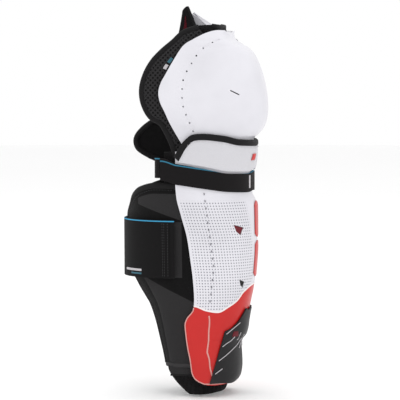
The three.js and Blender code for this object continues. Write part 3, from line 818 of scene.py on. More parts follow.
def linear(red, green, blue):
    """A colour as it looks, from 0 to 255, as the shader needs it."""
    return tuple((part / 255 / 12.92) if part / 255 <= 0.04045
                 else ((part / 255 + 0.055) / 1.055) ** 2.4 for part in (red, green, blue))


def moulded(name, colour, rough, highlight_colour, grain=0.02, mottle=0.04, coat=0.0, dots=None):
    """Moulded plastic: a fine grain, faint flow marks, a painted highlight on its edges and,
    where asked, a grid of small dark dots pressed into it."""
    made = Finish(name, colour, rough, 0.3, coat=coat)
    spot = made.object_place()
    flow = made.noise(spot, 0.012, 3.0)
    deeper = tuple(part * (1 - mottle * 2) for part in colour)
    shade = made.blend(made.ramp(flow, 0.35, 0.65), deeper, colour)
    # Painted highlight: convex edges blended towards the highlight colour.
    shade = made.painted_edge_highlight(shade, highlight_colour)
    fine = made.noise(spot, 1.6, 2.0)
    made.bump(fine, grain)
    made.bump(made.noise(spot, 0.05, 2.0), 0.12, 0.6)
    gloss = made.ramp(made.noise(spot, 0.03, 4.0, 0.6), 0.3, 0.7, rough - 0.05, rough + 0.07)
    if dots:
        mask = dots(made)
        shade = made.blend(mask, shade, linear(128, 128, 138))
        made.bump(made.math("SUBTRACT", 1.0, mask), 0.35)
        gloss = made.math("MULTIPLY_ADD", mask, 0.3, gloss)
    return made.done(shade, gloss)


def knitted(name, colour, rough=0.9, pitch=(1.1, 0.8), depth=0.18, sheen=0.06, lift=1.4,
            zones=None, heather=0.25):
    """Cloth with a fine knit on its flow map, a heathered colour and a soft sheen. zones may
    recolour it and returns the new colour."""
    made = Finish(name, colour, rough, specular=0.15, sheen=sheen)
    flow = made.chart()
    u, v, _ = made.parts(flow)
    weft = made.ribs(u, pitch[0])
    warp = made.ribs(v, pitch[1])
    knit = made.math("MULTIPLY", weft, warp)
    shade = tuple(colour)
    if zones:
        shade = zones(made, flow)
    light = made.blend(1.0, shade, (lift, lift, lift), "MULTIPLY")
    dark = made.blend(1.0, shade, (0.6, 0.6, 0.6), "MULTIPLY")
    fuzz = made.noise(made.object_place(), 0.35, 4.0, 0.7)
    tone = made.blend(made.ramp(knit, 0.0, 0.8), dark, light)
    tone = made.blend(made.math("MULTIPLY", made.ramp(fuzz, 0.35, 0.75), heather), tone, light)
    made.bump(knit, depth)
    made.bump(fuzz, 0.12, 0.6)
    return made.done(tone, made.ramp(fuzz, 0.3, 0.7, rough - 0.06, min(rough + 0.06, 1.0)))


def elastic(name, colour, edge=None, width=None, tab=None, tab_colour=None):
    """Woven elastic: ribs along its length, a fine cross weave and a coloured selvedge."""
    made = Finish(name, colour, 0.85, specular=0.15, sheen=0.04)
    u, v, _ = made.parts(made.chart())
    ribs = made.ribs(v, 1.35)
    weave = made.ribs(u, 0.9)
    shade = tuple(colour)
    if tab:
        shade = made.blend(made.band(u, *tab), shade, tab_colour)
    if edge:
        shade = made.blend(made.band(v, width - 1.6, width - 0.1), shade, edge)
    dark = made.blend(1.0, shade, (0.55, 0.55, 0.55), "MULTIPLY")
    light = made.blend(1.0, shade, (1.5, 1.5, 1.5), "MULTIPLY")
    height = made.math("MULTIPLY_ADD", weave, 0.4, made.math("MULTIPLY", ribs, 0.6))
    fuzz = made.noise(made.object_place(), 0.5, 4.0, 0.7)
    tone = made.blend(made.math("MULTIPLY_ADD", fuzz, 0.4, made.math("MULTIPLY", height, 0.6)),
                      dark, light)
    made.bump(height, 0.22)
    made.bump(fuzz, 0.08, 0.5)
    return made.done(tone)


def foamy(name, colour, pitch=6.0, size=2.2):
    """Closed-cell foam with a skin of fine cells and rows of pressed dots."""
    made = Finish(name, colour, 0.95, specular=0.15, sheen=0.04)
    flow = made.chart()
    press = made.dots(flow, (pitch, pitch), size, True)
    cells = made.node("TexVoronoi", Vector=made.object_place(), Scale=1500.0).outputs["Distance"]
    fuzz = made.noise(made.object_place(), 0.2, 3.0)
    shade = made.blend(made.ramp(fuzz, 0.3, 0.7), tuple(part * 0.75 for part in colour),
                       tuple(part * 1.3 for part in colour))
    shade = made.blend(press, shade, tuple(part * 0.35 for part in colour))
    made.bump(made.math("SUBTRACT", 1.0, press), 0.5)
    made.bump(cells, 0.05)
    return made.done(shade)


def taped(name, colour):
    """Binding tape: a fine cross rib with a slight shine."""
    made = Finish(name, colour, 0.75, specular=0.18, sheen=0.04)
    u, v, _ = made.parts(made.chart())
    cross = made.ribs(v, 0.9)
    along = made.ribs(u, 1.2)
    height = made.math("MULTIPLY_ADD", along, 0.4, made.math("MULTIPLY", cross, 0.6))
    fuzz = made.noise(made.object_place(), 0.3, 3.0)
    shade = made.blend(height, tuple(part * 0.6 for part in colour),
                       tuple(part * 1.5 for part in colour))
    shade = made.blend(made.math("MULTIPLY", fuzz, 0.3), shade, tuple(part * 2 for part in colour))
    made.bump(height, 0.12)
    return made.done(shade)


def threaded(name, colour):
    """Twisted sewing thread."""
    made = Finish(name, colour, 0.65, specular=0.4)
    twist = made.noise(made.object_place(), 0.9, 2.0)
    made.bump(twist, 0.15)
    return made.done(made.blend(twist, tuple(part * 0.7 for part in colour), colour))


def hooked(name, colour):
    """Hook and loop tape: a dense field of tiny hooks."""
    made = Finish(name, colour, 0.9, specular=0.25)
    flow = made.chart()
    hooks = made.dots(flow, (1.6, 1.6), 1.0, True, 0.5)
    fuzz = made.noise(made.object_place(), 0.8, 3.0)
    made.bump(hooks, 0.45)
    made.bump(fuzz, 0.2)
    shade = made.blend(hooks, tuple(part * 0.4 for part in colour),
                       tuple(part * 1.6 for part in colour))
    return made.done(made.blend(made.math("MULTIPLY", fuzz, 0.3), shade, colour))


# ---- What a user may change -----------------------------------------------------------------
class ShinGuardSizes(bpy.types.PropertyGroup):
    """Sizes of the pieces' details."""

    shell_wall: bpy.props.FloatProperty(
        name="Shell wall", description="Thickness of the moulded shin shells", default=0.003,
        subtype="DISTANCE", unit="LENGTH")
    cap_wall: bpy.props.FloatProperty(
        name="Cap wall", description="Thickness of the moulded knee cap", default=0.003,
        subtype="DISTANCE", unit="LENGTH")
    cap_hole: bpy.props.FloatProperty(
        name="Cap hole", description="Diameter of the small holes in the knee cap", default=0.0022,
        subtype="DISTANCE", unit="LENGTH")
    dot_pitch: bpy.props.FloatProperty(
        name="Dot pitch", description="Distance between the shell's pressed dots", default=0.0036,
        subtype="DISTANCE", unit="LENGTH")
    strap_thickness: bpy.props.FloatProperty(
        name="Strap thickness", description="Thickness of the woven elastic", default=0.0022,
        subtype="DISTANCE", unit="LENGTH")


class ShinGuardColours(bpy.types.PropertyGroup):
    """Colours of the guard's materials."""

    white: bpy.props.FloatVectorProperty(
        name="White", description="Knee cap, collar and upper shell", subtype="COLOR", size=3,
        min=0, max=1, default=linear(221, 220, 226))
    red: bpy.props.FloatVectorProperty(
        name="Red", description="Lower shell and front strips", subtype="COLOR", size=3,
        min=0, max=1, default=linear(198, 30, 27))
    black: bpy.props.FloatVectorProperty(
        name="Black", description="Stretch cloth, straps and tape", subtype="COLOR", size=3,
        min=0, max=1, default=linear(18, 17, 18))
    charcoal: bpy.props.FloatVectorProperty(
        name="Charcoal", description="Side panels and knee wings", subtype="COLOR", size=3,
        min=0, max=1, default=linear(47, 46, 47))
    blue: bpy.props.FloatVectorProperty(
        name="Blue", description="Edge of the elastic straps", subtype="COLOR", size=3,
        min=0, max=1, default=linear(62, 150, 190))
    crimson: bpy.props.FloatVectorProperty(
        name="Crimson", description="Vents and the tab's lining", subtype="COLOR", size=3,
        min=0, max=1, default=linear(96, 3, 20))


def sizes():
    return bpy.context.scene.shin_guard_sizes


def colours():
    return bpy.context.scene.shin_guard_colours


FINISHES = {}
WING_PITCH = 6.2


def finish(name):
    return FINISHES[name]


def make_finishes():
    hue = colours()
    white, red, black = tuple(hue.white), tuple(hue.red), tuple(hue.black)
    charcoal, blue, crimson = tuple(hue.charcoal), tuple(hue.blue), tuple(hue.crimson)
    pitch = sizes().dot_pitch / MM
    # Colour of the painted edge highlight on the pale moulded finishes.
    highlight_colour = (0.95, 0.95, 0.95)

    def shell_dots(made):
        u, v, _ = made.parts(made.chart("edge"))
        dots = made.dots(made.chart("edge"), (pitch, pitch), 1.5)
        field = made.math("MULTIPLY", made.band(u, 3.5, 90, 3), made.band(v, 60, 248.5, 1))
        return made.math("MULTIPLY", dots, field)

    def panel_zones(made, flow):
        back, up, _ = made.parts(made.chart("plan"))
        upper = made.math("MULTIPLY_ADD", back, -0.339, made.math("SUBTRACT", up, 0.2187))
        lower = made.math("MULTIPLY_ADD", back, -0.4825, made.math("SUBTRACT", up, 0.1208))
        stretchy = made.math("MULTIPLY", made.ramp(upper, -0.0003, 0.0003, 1.0, 0.0),
                             made.ramp(lower, -0.0003, 0.0003))
        sliver = made.math("MULTIPLY", made.ramp(back, 0.0132, 0.0138),
                           made.math("MULTIPLY", made.ramp(up, 0.151, 0.1516),
                                     made.ramp(up, 0.2216, 0.2222, 1.0, 0.0)))
        stretchy = made.math("MULTIPLY", stretchy, made.math("SUBTRACT", 1.0, sliver))
        shade = made.blend(stretchy, charcoal, tuple(part * 0.6 for part in black))
        behind, above, _ = made.parts(made.chart("border"))
        rim = made.math("MAXIMUM", made.ramp(behind, 0.0305, 0.0311, 1.0, 0.0),
                        made.ramp(above, 0.0082, 0.0088, 1.0, 0.0))
        return made.blend(rim, shade, tuple(part * 0.6 for part in black))

    def wing_zones(made, flow):
        _, back, up = made.parts(made.object_place())
        flat = made.node("CombineXYZ", X=back, Y=up).outputs[0]
        holes = made.dots(flat, (WING_PITCH, WING_PITCH), 2.6, True)
        return made.blend(holes, charcoal, tuple(part * 0.25 for part in black))

    # The fourth colour of each moulded finish is the colour of its painted edge highlight.
    FINISHES.update(
        white=moulded("white_moulded", white, 0.36, highlight_colour, coat=0.12),
        dotted=moulded("white_dotted", white, 0.4, highlight_colour, dots=shell_dots),
        red=moulded("red_moulded", red, 0.38, (0.9, 0.35, 0.3), coat=0.1),
        piping=moulded("pale_piping", linear(214, 150, 143), 0.45, highlight_colour),
        ivory=moulded("white_piping", linear(238, 232, 232), 0.45, highlight_colour),
        black=moulded("black_moulded", linear(22, 21, 23), 0.5, (0.12, 0.12, 0.12), 0.03),
        pit=moulded("dark_vent", linear(16, 14, 16), 0.6, (0.05, 0.05, 0.05)),
        crimson=moulded("crimson_vent", crimson, 0.4, (0.5, 0.08, 0.12)),
        silver=moulded("pale_stripe", linear(188, 184, 188), 0.4, highlight_colour),
        blue_flash=moulded("blue_flash", blue, 0.5, (0.4, 0.7, 0.9)),
        collar=knitted("collar_cloth", linear(236, 235, 240), 0.6, (0.6, 0.6), 0.05, 0.1, 1.0,
                       heather=0.05),
        panel=knitted("panel_cloth", charcoal, pitch=(1.0, 0.7), zones=panel_zones),
        stretch=knitted("stretch_cloth", black, pitch=(0.9, 0.6)),
        wing=knitted("wing_mesh", charcoal, pitch=(1.2, 1.2), depth=0.25, zones=wing_zones),
        charcoal_cloth=knitted("charcoal_cloth", charcoal),
        teal_flash=moulded("teal_flash", linear(44, 96, 112), 0.5, (0.3, 0.5, 0.6)),
        lining=knitted("red_lining", linear(78, 6, 20), pitch=(1.0, 1.0)),
        foam=foamy("liner_foam", linear(20, 19, 20)),
        cup=foamy("cup_foam", linear(60, 60, 66), 9.0, 3.0),
        grey_tape=taped("grey_tape", charcoal),
        tape=taped("binding_tape", linear(18, 17, 18)),
        calf_elastic=elastic("calf_elastic", linear(15, 14, 15), blue, CALF_TOP - CALF_BOTTOM,
                             (5.5, 6.3), linear(4, 4, 4)),
        elastic=elastic("upper_elastic", linear(20, 18, 19), linear(52, 118, 145), STRAP_WIDTH),
        hook=hooked("hook_tape", linear(30, 30, 32)),
        thread=threaded("black_thread", linear(48, 48, 50)),
        grey_thread=threaded("grey_thread", linear(118, 116, 124)),
        white_thread=threaded("white_thread", linear(214, 212, 216)),
    )


# ---- The pieces -----------------------------------------------------------------------------
def edge_chart(surface, columns=48):
    """Lengths from the nearer rear edge and heights, in metres, for a shell's map."""
    table = {}

    def chart(s, t, spot):
        if t not in table:
            points = [surface(i / columns, t) for i in range(columns + 1)]
            walked = [0.0]
            for before, after in zip(points, points[1:]):
                walked.append(walked[-1] + (after - before).length)
            table[t] = walked
        walked = table[t]
        at = clamp(s) * columns
        low = min(int(at), columns - 1)
        here = mix(walked[low], walked[low + 1], at - low)
        return min(here, walked[-1] - here) * MM, spot.z
    return chart


def plan_chart(s, t, spot):
    return spot.y, spot.z


def vent_cutter(side, share, height, wide, high):
    """A slanted four-sided opening's cutter, square to the shell's face."""
    middle = shin_face(side * share, height)
    facing = outward(lambda s, t: shin_face(side * mix(share, share + 0.2, s),
                                            mix(height, height + 10, t)), 0, 0)
    if facing.y > 0:
        facing.negate()
    right = Vector((0, 0, 1)).cross(facing).normalized()
    up = facing.cross(right)
    outline = [(-wide / 2, high / 2), (wide / 2, high / 5), (wide / 5, -high / 2),
               (-wide / 4, -high / 8)]
    return middle, facing, right, up, [(-side * x, y) for x, y in outline]


def vent_block(side, vent, deep_end, proud, scale=1.0):
    middle, facing, right, up, outline = vent_cutter(side, *vent)
    block = bmesh.new()
    low = [block.verts.new((middle + right * x * scale + up * y * scale + facing * deep_end) * MM)
           for x, y in outline]
    face = block.faces.new(low)
    made = bmesh.ops.extrude_face_region(block, geom=[face])
    tops = [item for item in made["geom"] if isinstance(item, bmesh.types.BMVert)]
    bmesh.ops.translate(block, vec=facing * (proud - deep_end) * MM, verts=tops)
    bmesh.ops.recalc_face_normals(block, faces=block.faces[:])
    return block


UPPER_VENT = (0.445, 211.5, 15, 14)
LOWER_VENT = (0.39, 143.2, 9.5, 11.5)


ridge_reach = straight([
    (22, 25), (26, 23.2), (48, 19.4), (57, 17.4), (64, 18.2), (76, 19), (90, 20.3), (100, 20.4),
    (106, 20), (165, 27), (263, 15),
])


def shell_relief(u, height):
    """A shallow channel pressed along the sewn line down each side of the shell."""
    away = (abs(u) - share_at(ridge_reach(height), height)) * 70
    return -0.5 * math.exp(-(away / 1.6) ** 2)


def make_upper_shell():
    rows = [160, 185, 210, 230, 240, 248, 257, 284, SHELL_TOP]

    def height_of(u, t):
        heights = [colour_line(abs(u)) + 0.35, *rows]
        at = t * (len(heights) - 1)
        row = min(int(at), len(heights) - 2)
        return mix(heights[row], heights[row + 1], at - row)

    def surface(s, t):
        u = mix(-1, 1, s)
        return shin_face(u, height_of(u, t))

    def pressed(s, t):
        u = mix(-1, 1, s)
        return shell_relief(u, height_of(u, t))
    cloth, _ = grid(raised(surface, pressed), 96, 72, {"edge": edge_chart(surface)})
    shell = to_object("upper_shin_shell", cloth, finish("dotted"))
    thicken(shell, sizes().shell_wall / MM)
    apply(shell)
    for side in (-1, 1):
        for vent in (UPPER_VENT, LOWER_VENT):
            block = vent_block(side, vent, -9, 6)
            cut_with(shell, to_object("vent_cutter", block, finish("pit")))
    crisp(shell)
    round_edges(shell, 0.6, 2, 60)
    return stand_for(shell, "shin", "white_plastic", "upper_shell")


def make_lower_shell():
    rows = [16, 20, 26, 38, 52, 63, 70, 76, 86]

    def surface(s, t):
        u = mix(-1, 1, s)
        heights = [*rows, colour_line(abs(u))]
        at = t * (len(heights) - 1)
        row = min(int(at), len(heights) - 2)
        return shin_face(u, mix(heights[row], heights[row + 1], at - row))
    cloth, _ = grid(surface, 96, 54)
    shell = to_object("lower_shin_shell", cloth, finish("red"))
    thicken(shell, sizes().shell_wall / MM)
    round_edges(shell, 0.9, 3)
    stand_for(shell, "shin", "red_plastic", "lower_shell")

    def joint_line(share):
        u = mix(-1, 1, share)
        return shin_face(u, colour_line(abs(u)) + 0.2)

    def whole(s, t):
        return shin_face(mix(-1, 1, s), mix(100, 200, t))

    def joint_facing(share):
        u = mix(-0.999, 0.999, share)
        return outward(whole, (u + 1) / 2, (colour_line(abs(u)) - 100) / 100)
    seam = tape("shell_joint_piping", joint_line, joint_facing, finish("ivory"), 2.2, 1.2, 120)
    stand_for(seam, "shin", "white_plastic")

    def rim_line(share):
        """Down the rear edge, under the front and up the other rear edge."""
        if share < 0.3:
            return shin_face(-1, mix(114, 18, share / 0.3))
        if share > 0.7:
            return shin_face(1, mix(18, 114, (share - 0.7) / 0.3))
        return shin_face(mix(-1, 1, (share - 0.3) / 0.4), 17.4)
    edge = tape("lower_edge_piping", rim_line, turned_out(rim_line, ahead=0.6), finish("piping"),
                1.5, 1.5, 160, 2.0, 8)
    stand_for(edge, "shin", "red_plastic")


def make_shell_trim():

    def line_on(side, low, high, wave=0.0):
        def line(share):
            height = mix(high, low, share)
            reach = ridge_reach(height) + wave * math.sin(share * 21) * (0.4 + 0.6 * share)
            return shin_face(side * share_at(reach, height), height)
        return line

    def facing(side, low, high):
        def out(share):
            height = mix(high, low, share)
            u = share_at(ridge_reach(height), height)

            def skin(s, t):
                return shin_face(side * s, mix(low, high, t))
            return outward(skin, u, 1 - share)
        return out
    for side, label in SIDES:
        upper = stitches(f"{label}_shell_stitches", line_on(side, 118, 262), facing(side, 118, 262),
                         finish("grey_thread"), 3.2, 9.0, 1.1, 0.15)
        stand_for(upper, "shin", "white_plastic")
        wavy = tape(f"{label}_shell_piping", line_on(side, 23, 104, 0.5), facing(side, 23, 104),
                    finish("piping"), 1.9, 0.9, 90, 2.0, 8)
        stand_for(wavy, "shin", "red_plastic")
    for name, vent, look, slot_name in (("upper_vent", UPPER_VENT, "crimson", "red_lining"),
                                        ("lower_vent", LOWER_VENT, "pit", "black_plastic")):
        for side, label in SIDES:
            block = vent_block(side, vent, -2.9, -1.3, 0.95)
            insert = to_object(f"{name}_insert_{label}", block, finish(look), smooth=False)
            round_edges(insert, 0.5, 2)
            stand_for(insert, "shin", slot_name, f"{name}_{label}")
    for name, low, high in (("upper_front_strip", 200, 246), ("lower_front_strip", 150, 196)):
        def surface(s, t, low=low, high=high):
            u = mix(-0.13, 0.13, s)
            trim = 5 * abs(mix(-1, 1, s)) ** 2
            return shin_face(u, mix(low + trim, high - trim, t))
        plate(f"{name}_plate", raised(surface, 1.3), (16, 40), "red", 0.9, "shin", "red_plastic",
              [name], (0.45, 3))


GUARD_FOOT, GUARD_SIDE_TOP = 17.2, 84
GUARD_TOP = straight([(0, 112), (0.1, 109.5), (0.18, 108.5), (0.25, 112), (0.3, 106), (0.345, 100),
                      (0.4, 94.5), (0.5, 87.5), (0.6, GUARD_SIDE_TOP), (1, GUARD_SIDE_TOP)])


def guard_share(height):
    """The guard's straight rear edge, slanting forward as it rises."""
    return seen_share(mix(11.8, 30.5, (height - 17.5) / 66.5), height)


def guard_surface(s, t):
    u = mix(-1, 1, s)
    top = GUARD_TOP(abs(u) * 0.6)
    height = mix(GUARD_FOOT, top, t)
    return shin_face(u * guard_share(min(height, GUARD_SIDE_TOP)), height)


def make_guard():
    def standing(s, t):
        fold = 0.12 * math.sin(t * 9 + abs(mix(-1, 1, s)) * 7) * (1 - t) * t * 2
        return 2.75 + fold
    plate("instep_guard_plate", raised(guard_surface, standing), (84, 64), "black", 1.9, "shin",
          "black_plastic", ["instep_guard"], (0.6, 3))
    lines = [
        [(32, 80.8), (37.5, 85.2), (43, 89.6), (48.3, 94)],
        [(26.8, 64.3), (32, 68.5), (37, 72.8), (42, 77)],
        [(22.5, 46.5), (30, 52.1), (38, 58.6), (44.4, 65.2), (49.2, 72.4), (53.3, 78.1)],
        [(45.2, 73.2), (49.3, 81.3)],
        [(46.5, 59.2), (50.4, 70.9)],
        [(18.4, 30), (22.4, 33.2), (26.8, 36.4)],
    ]
    for side, label in SIDES:
        for number, points in enumerate(lines):
            spots = []
            for aside, height in points:
                u = seen_share(aside, height)

                def skin(s, t, side=side, height=height):
                    return shin_face(side * s, mix(height, height + 20, t))
                spots.append(shin_face(side * u, height) + outward(skin, u, 0.01) * 3.3)
            line = Route(spots)
            stripe = tape(f"guard_stripe_{label}_{number}", line, turned_out(line, ahead=0.5),
                          finish("silver"), 1.05, 0.8, 30, 2.2, 8)
            stand_for(stripe, "shin", "black_plastic")

        def notch(s, t, side=side):
            height = mix(77, 83.5, t)
            aside = mix(38.8 + 2 * t, 46.2, s)
            return shin_face(side * seen_share(aside, height), height)
        plate(f"guard_vent_{label}", raised(notch, 3.3), (10, 10), "crimson", 0.8, "shin",
              "black_plastic", (), (0.3, 2))


def ankle_place(u, height):
    """The ankle cushion's face, drawn in behind the heel towards its foot."""
    at = ankle_face(u, height)
    at.y -= 6.5 * ease(at.y, 0, 30) * clamp(1 - height / 36)
    return at


def make_shin_padding():
    def channels(s, t):
        across = abs(mix(-1, 1, s))
        return 0.85 if abs(across - 0.5) < 0.035 or abs(t - 0.5) < 0.02 else 0.0
    liner = pad("shin_liner_pad", raised(liner_face, -0.6), 48, 40, 6.6, finish("foam"), channels,
                pressure=3, reach=0.7)
    stand_for(liner, "shin", "foam_liner", "shin_liner")

    def skin(s, t):
        return ankle_place(mix(-1, 1, s), mix(2.2, 39.6, t))
    ankle = pad("ankle_cushion", raised(skin, -0.8), 48, 14, 7.4, finish("foam"),
                lambda s, t: 0.6 if abs(t - 0.42) < 0.05 else 0.0, pressure=3, reach=0.8)
    stand_for(ankle, "shin", "foam_liner", "ankle_pad")
    strap_piece("ankle_cloth_band", lambda s, t: ankle_place(mix(-0.98, 0.98, s), mix(28, 38.5, t)),
                60, 8, 1.0, "charcoal_cloth", "shin", "grey_cloth", [], 0.5)

    def low_seam(share):
        return ankle_place(mix(-1, 1, share), 27.6)
    hem = tape("ankle_hem", low_seam, turned_out(low_seam), finish("tape"), 2.6, 1.8, 90)
    stand_for(hem, "shin", "foam_liner")


collar_top = through([(0, 322), (0.4, 324), (0.6, 329), (0.8, 331.5), (0.88, 330.5), (0.94, 324),
                      (0.98, 314), (1.0, 304)])


def collar_edge(share):
    u = mix(-1, 1, share)
    return collar_face(u, collar_top(abs(u)) - 3)


collar_facing = turned_out(collar_edge, ahead=0.8)


def make_collar():
    def surface(s, t):
        u = mix(-0.985, 0.985, s)
        low = strap_top(abs(u)) + 2.2
        return collar_face(u, mix(low, max(collar_top(abs(u)) - 5.5, low + 1.5), t))
    collar = pad("collar_cushion", raised(surface, -0.9), 72, 14, 2.6, finish("collar"),
                 no_seam, pressure=5, reach=1.0)
    stand_for(collar, "shin", "collar_cloth", "collar_pad")

    binding = tape("collar_edge_tape", lambda share: inward(collar_edge(share), 1.8),
                   collar_facing, finish("tape"), 8.2, 5.2, 150, 2.5)
    stand_for(binding, "shin", "edge_binding", "collar_binding")
    row = stitches("collar_stitches", lambda share: collar_face(
        mix(-0.96, 0.96, share), collar_top(abs(mix(-0.96, 0.96, share))) - 8.3), collar_facing,
        finish("white_thread"), 2.0, 3.4, 0.7, 0.1)
    stand_for(row, "shin", "collar_cloth")
    def badge(s, t):
        return collar_face(mix(-0.22, -0.13, s) + 0.03 * t, mix(298, 306, t))
    plate("collar_flash", raised(badge, 0.35), (6, 6), "red", 0.7, "shin", "collar_cloth")


def wrap_sheet(side, s, t, inset=0.0):
    """The whole cloth of one side, from the side panel's front edge to the wrap's rear edge."""
    joint = 0.24
    low = PANEL_BOTTOM - 0.3
    if s < joint:
        height = mix(low, 270.5 - inset, t)
        return wrap_face(side, -(1 - s / joint), height)
    share = (s - joint) / (1 - joint)
    top = flap_top(mix(0, 0.86, share)) - inset
    height = mix(low, top, t)
    last = flap_share(height) - inset / 95
    return wrap_face(side, mix(0, last, share), height)


WRAP_AXIS = 15


def fold_at_hinge(piece, side, slot_name, *nodes):
    """Hides the solids the piece stands for and bakes its placement into its mesh. side is not
    used.
    """
    if nodes:
        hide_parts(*nodes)
    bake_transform(piece)


def make_wraps():
    def billow(s, t):
        return -0.15 - 0.5 * math.sin(t * 7 + s * 2.4) ** 2 * math.sin(math.pi * s)

    def border(s, t, spot):
        return (1 - s) * 0.105, (1 - t) * 0.19
    corner = 0.6
    for side, label in SIDES:
        def edge_walk(share, inset, low, rise, run, side=side):
            """Up the rear edge, then forward along the top."""
            if share < corner:
                return wrap_sheet(side, 1, low + rise * share / corner, inset)
            return wrap_sheet(side, 1 - (share - corner) / (1 - corner) * run, 1, inset)
        cloth, _ = grid(raised(lambda s, t, side=side: wrap_sheet(side, s, t, 3.0), billow), 44, 56,
                        {"plan": plan_chart, "border": border})
        area = cloth_area(cloth)
        wrap = to_object(f"{label}_side_cloth", cloth, finish("panel"))
        thicken(wrap, 2.7)
        fold_at_hinge(wrap, side, "black_cloth", f"{label}_side_panel", f"{label}_calf_wrap")

        rim = Route([edge_walk(i / 60, 3.0, 0.005, 0.985, 0.995) for i in range(61)])
        edge = tape(f"{label}_wrap_edge_tape", lambda share: inward(rim(share), 1.6, WRAP_AXIS),
                    turned_out(rim, WRAP_AXIS), finish("tape"), 7.4, 4.6, 130, 2.6)
        fold_at_hinge(edge, side, "edge_binding", f"{label}_wrap_binding")

        def foot(share, side=side):
            at = wrap_sheet(side, mix(0.03, 0.985, share), 0.0, 3.0)
            return inward(at, 1.3, WRAP_AXIS) - Vector((0, 0, 0.8))
        hem = tape(f"{label}_wrap_hem_tape", foot, turned_out(foot, WRAP_AXIS), finish("grey_tape"),
                   5.6, 4.4, 110, 2.6)
        fold_at_hinge(hem, side, "edge_binding")

        row = Route([edge_walk(i / 60, 8.2, 0.02, 0.95, 0.98) for i in range(61)])
        thread = stitches(f"{label}_wrap_stitches", row, turned_out(row, WRAP_AXIS),
                          finish("thread"), 2.2, 3.8, 0.7, 0.1)
        fold_at_hinge(thread, side, "edge_binding")


def strap_piece(name, surface, across, along, thickness, look, body, slot_name, nodes,
                lift=0.0, offset=-1.0):
    cloth, _ = grid(raised(surface, lift) if lift else surface, across, along)
    area = cloth_area(cloth)
    piece = to_object(name, cloth, finish(look))
    thicken(piece, thickness, offset)
    round_edges(piece, 0.5, 2)
    return stand_for(piece, body, slot_name, *nodes)


def make_calf_strap():
    web = sizes().strap_thickness / MM
    strap_piece("calf_strap_band", calf_band(0.0, 1.38), 90, 22, web, "calf_elastic",
                "calf_strap_free_end", "strap_elastic", ["calf_strap"], web)
    strap_piece("calf_hook_tape", calf_band(0.05, 0.34, 5), 30, 16, 1.0, "hook",
                "calf_strap_free_end", "hook_tape", ["calf_strap_hook_pad"], -0.4)

    def anchor(s, t):
        return calf_strap_face(1, mix(0.3, 0.614, s), mix(CALF_BOTTOM, CALF_TOP, t))
    strap_piece("calf_strap_stitched_end", anchor, 30, 22, 2 * web, "calf_elastic", "medial_wrap",
                "strap_elastic", ["calf_strap_anchor"], 2.1)

    def loops(s, t):
        return wrap_face(-1, mix(0.06, 0.36, s), mix(CALF_BOTTOM + 8, CALF_TOP - 6, t))
    strap_piece("calf_loop_tape", loops, 24, 18, 1.0, "hook", "lateral_wrap", "hook_tape",
                ["calf_loop_patch"], 1.3)
    for number, along in enumerate((0.075, 0.115, 0.135)):
        def line(share, along=along):
            return calf_strap_face(-1, along, mix(CALF_BOTTOM + 2, CALF_TOP - 3, share))
        row = stitches(f"calf_strap_seam_{number}", line, turned_out(line, ahead=0.0),
                       finish("thread"), 2.2, 3.4, 0.7, 2.25)
        stand_for(row, "calf_strap_free_end", "strap_elastic")
    for number, (start, end, low, high, look) in enumerate((
            (0.39, 0.67, 159, 161.8, "silver"), (0.39, 0.55, 155, 157, "teal_flash"))):
        def flash(s, t, start=start, end=end, low=low, high=high):
            return calf_strap_face(-1, mix(start, end, s), mix(low, high, t))
        plate(f"calf_strap_flash_{number}", raised(flash, 2.4), (24, 3), look, 0.35,
              "calf_strap_free_end", "strap_elastic")


def make_upper_strap():
    web = sizes().strap_thickness / MM
    strap_piece("upper_strap_band", strap_band(-1.45, 1.25, 0.5), 130, 10, web, "elastic", "shin",
                "strap_elastic", ["upper_strap"], web)
    strap_piece("upper_loop_tape", strap_band(0.9, 1.2, 0.5, 2), 24, 8, 1.0, "hook", "shin",
                "hook_tape", ["upper_loop_patch"], 3.5)
    strap_piece("upper_strap_end", tail_band(0, 1), 120, 10, web, "elastic",
                "upper_strap_free_end", "strap_elastic", ["upper_strap_tail"], web)
    strap_piece("upper_hook_tape", tail_band(0.84, 0.98, 2), 20, 8, 1.0, "hook",
                "upper_strap_free_end", "hook_tape", ["upper_hook_pad"], -0.4)

    def mark(s, t):
        walk = mix(-0.2, -0.165, s)
        return place(*strap_plan(walk, 0.5), mix(263, 279, t))
    plate("upper_strap_flash", raised(mark, 2.45), (4, 12), "silver", 0.35, "shin", "strap_elastic")


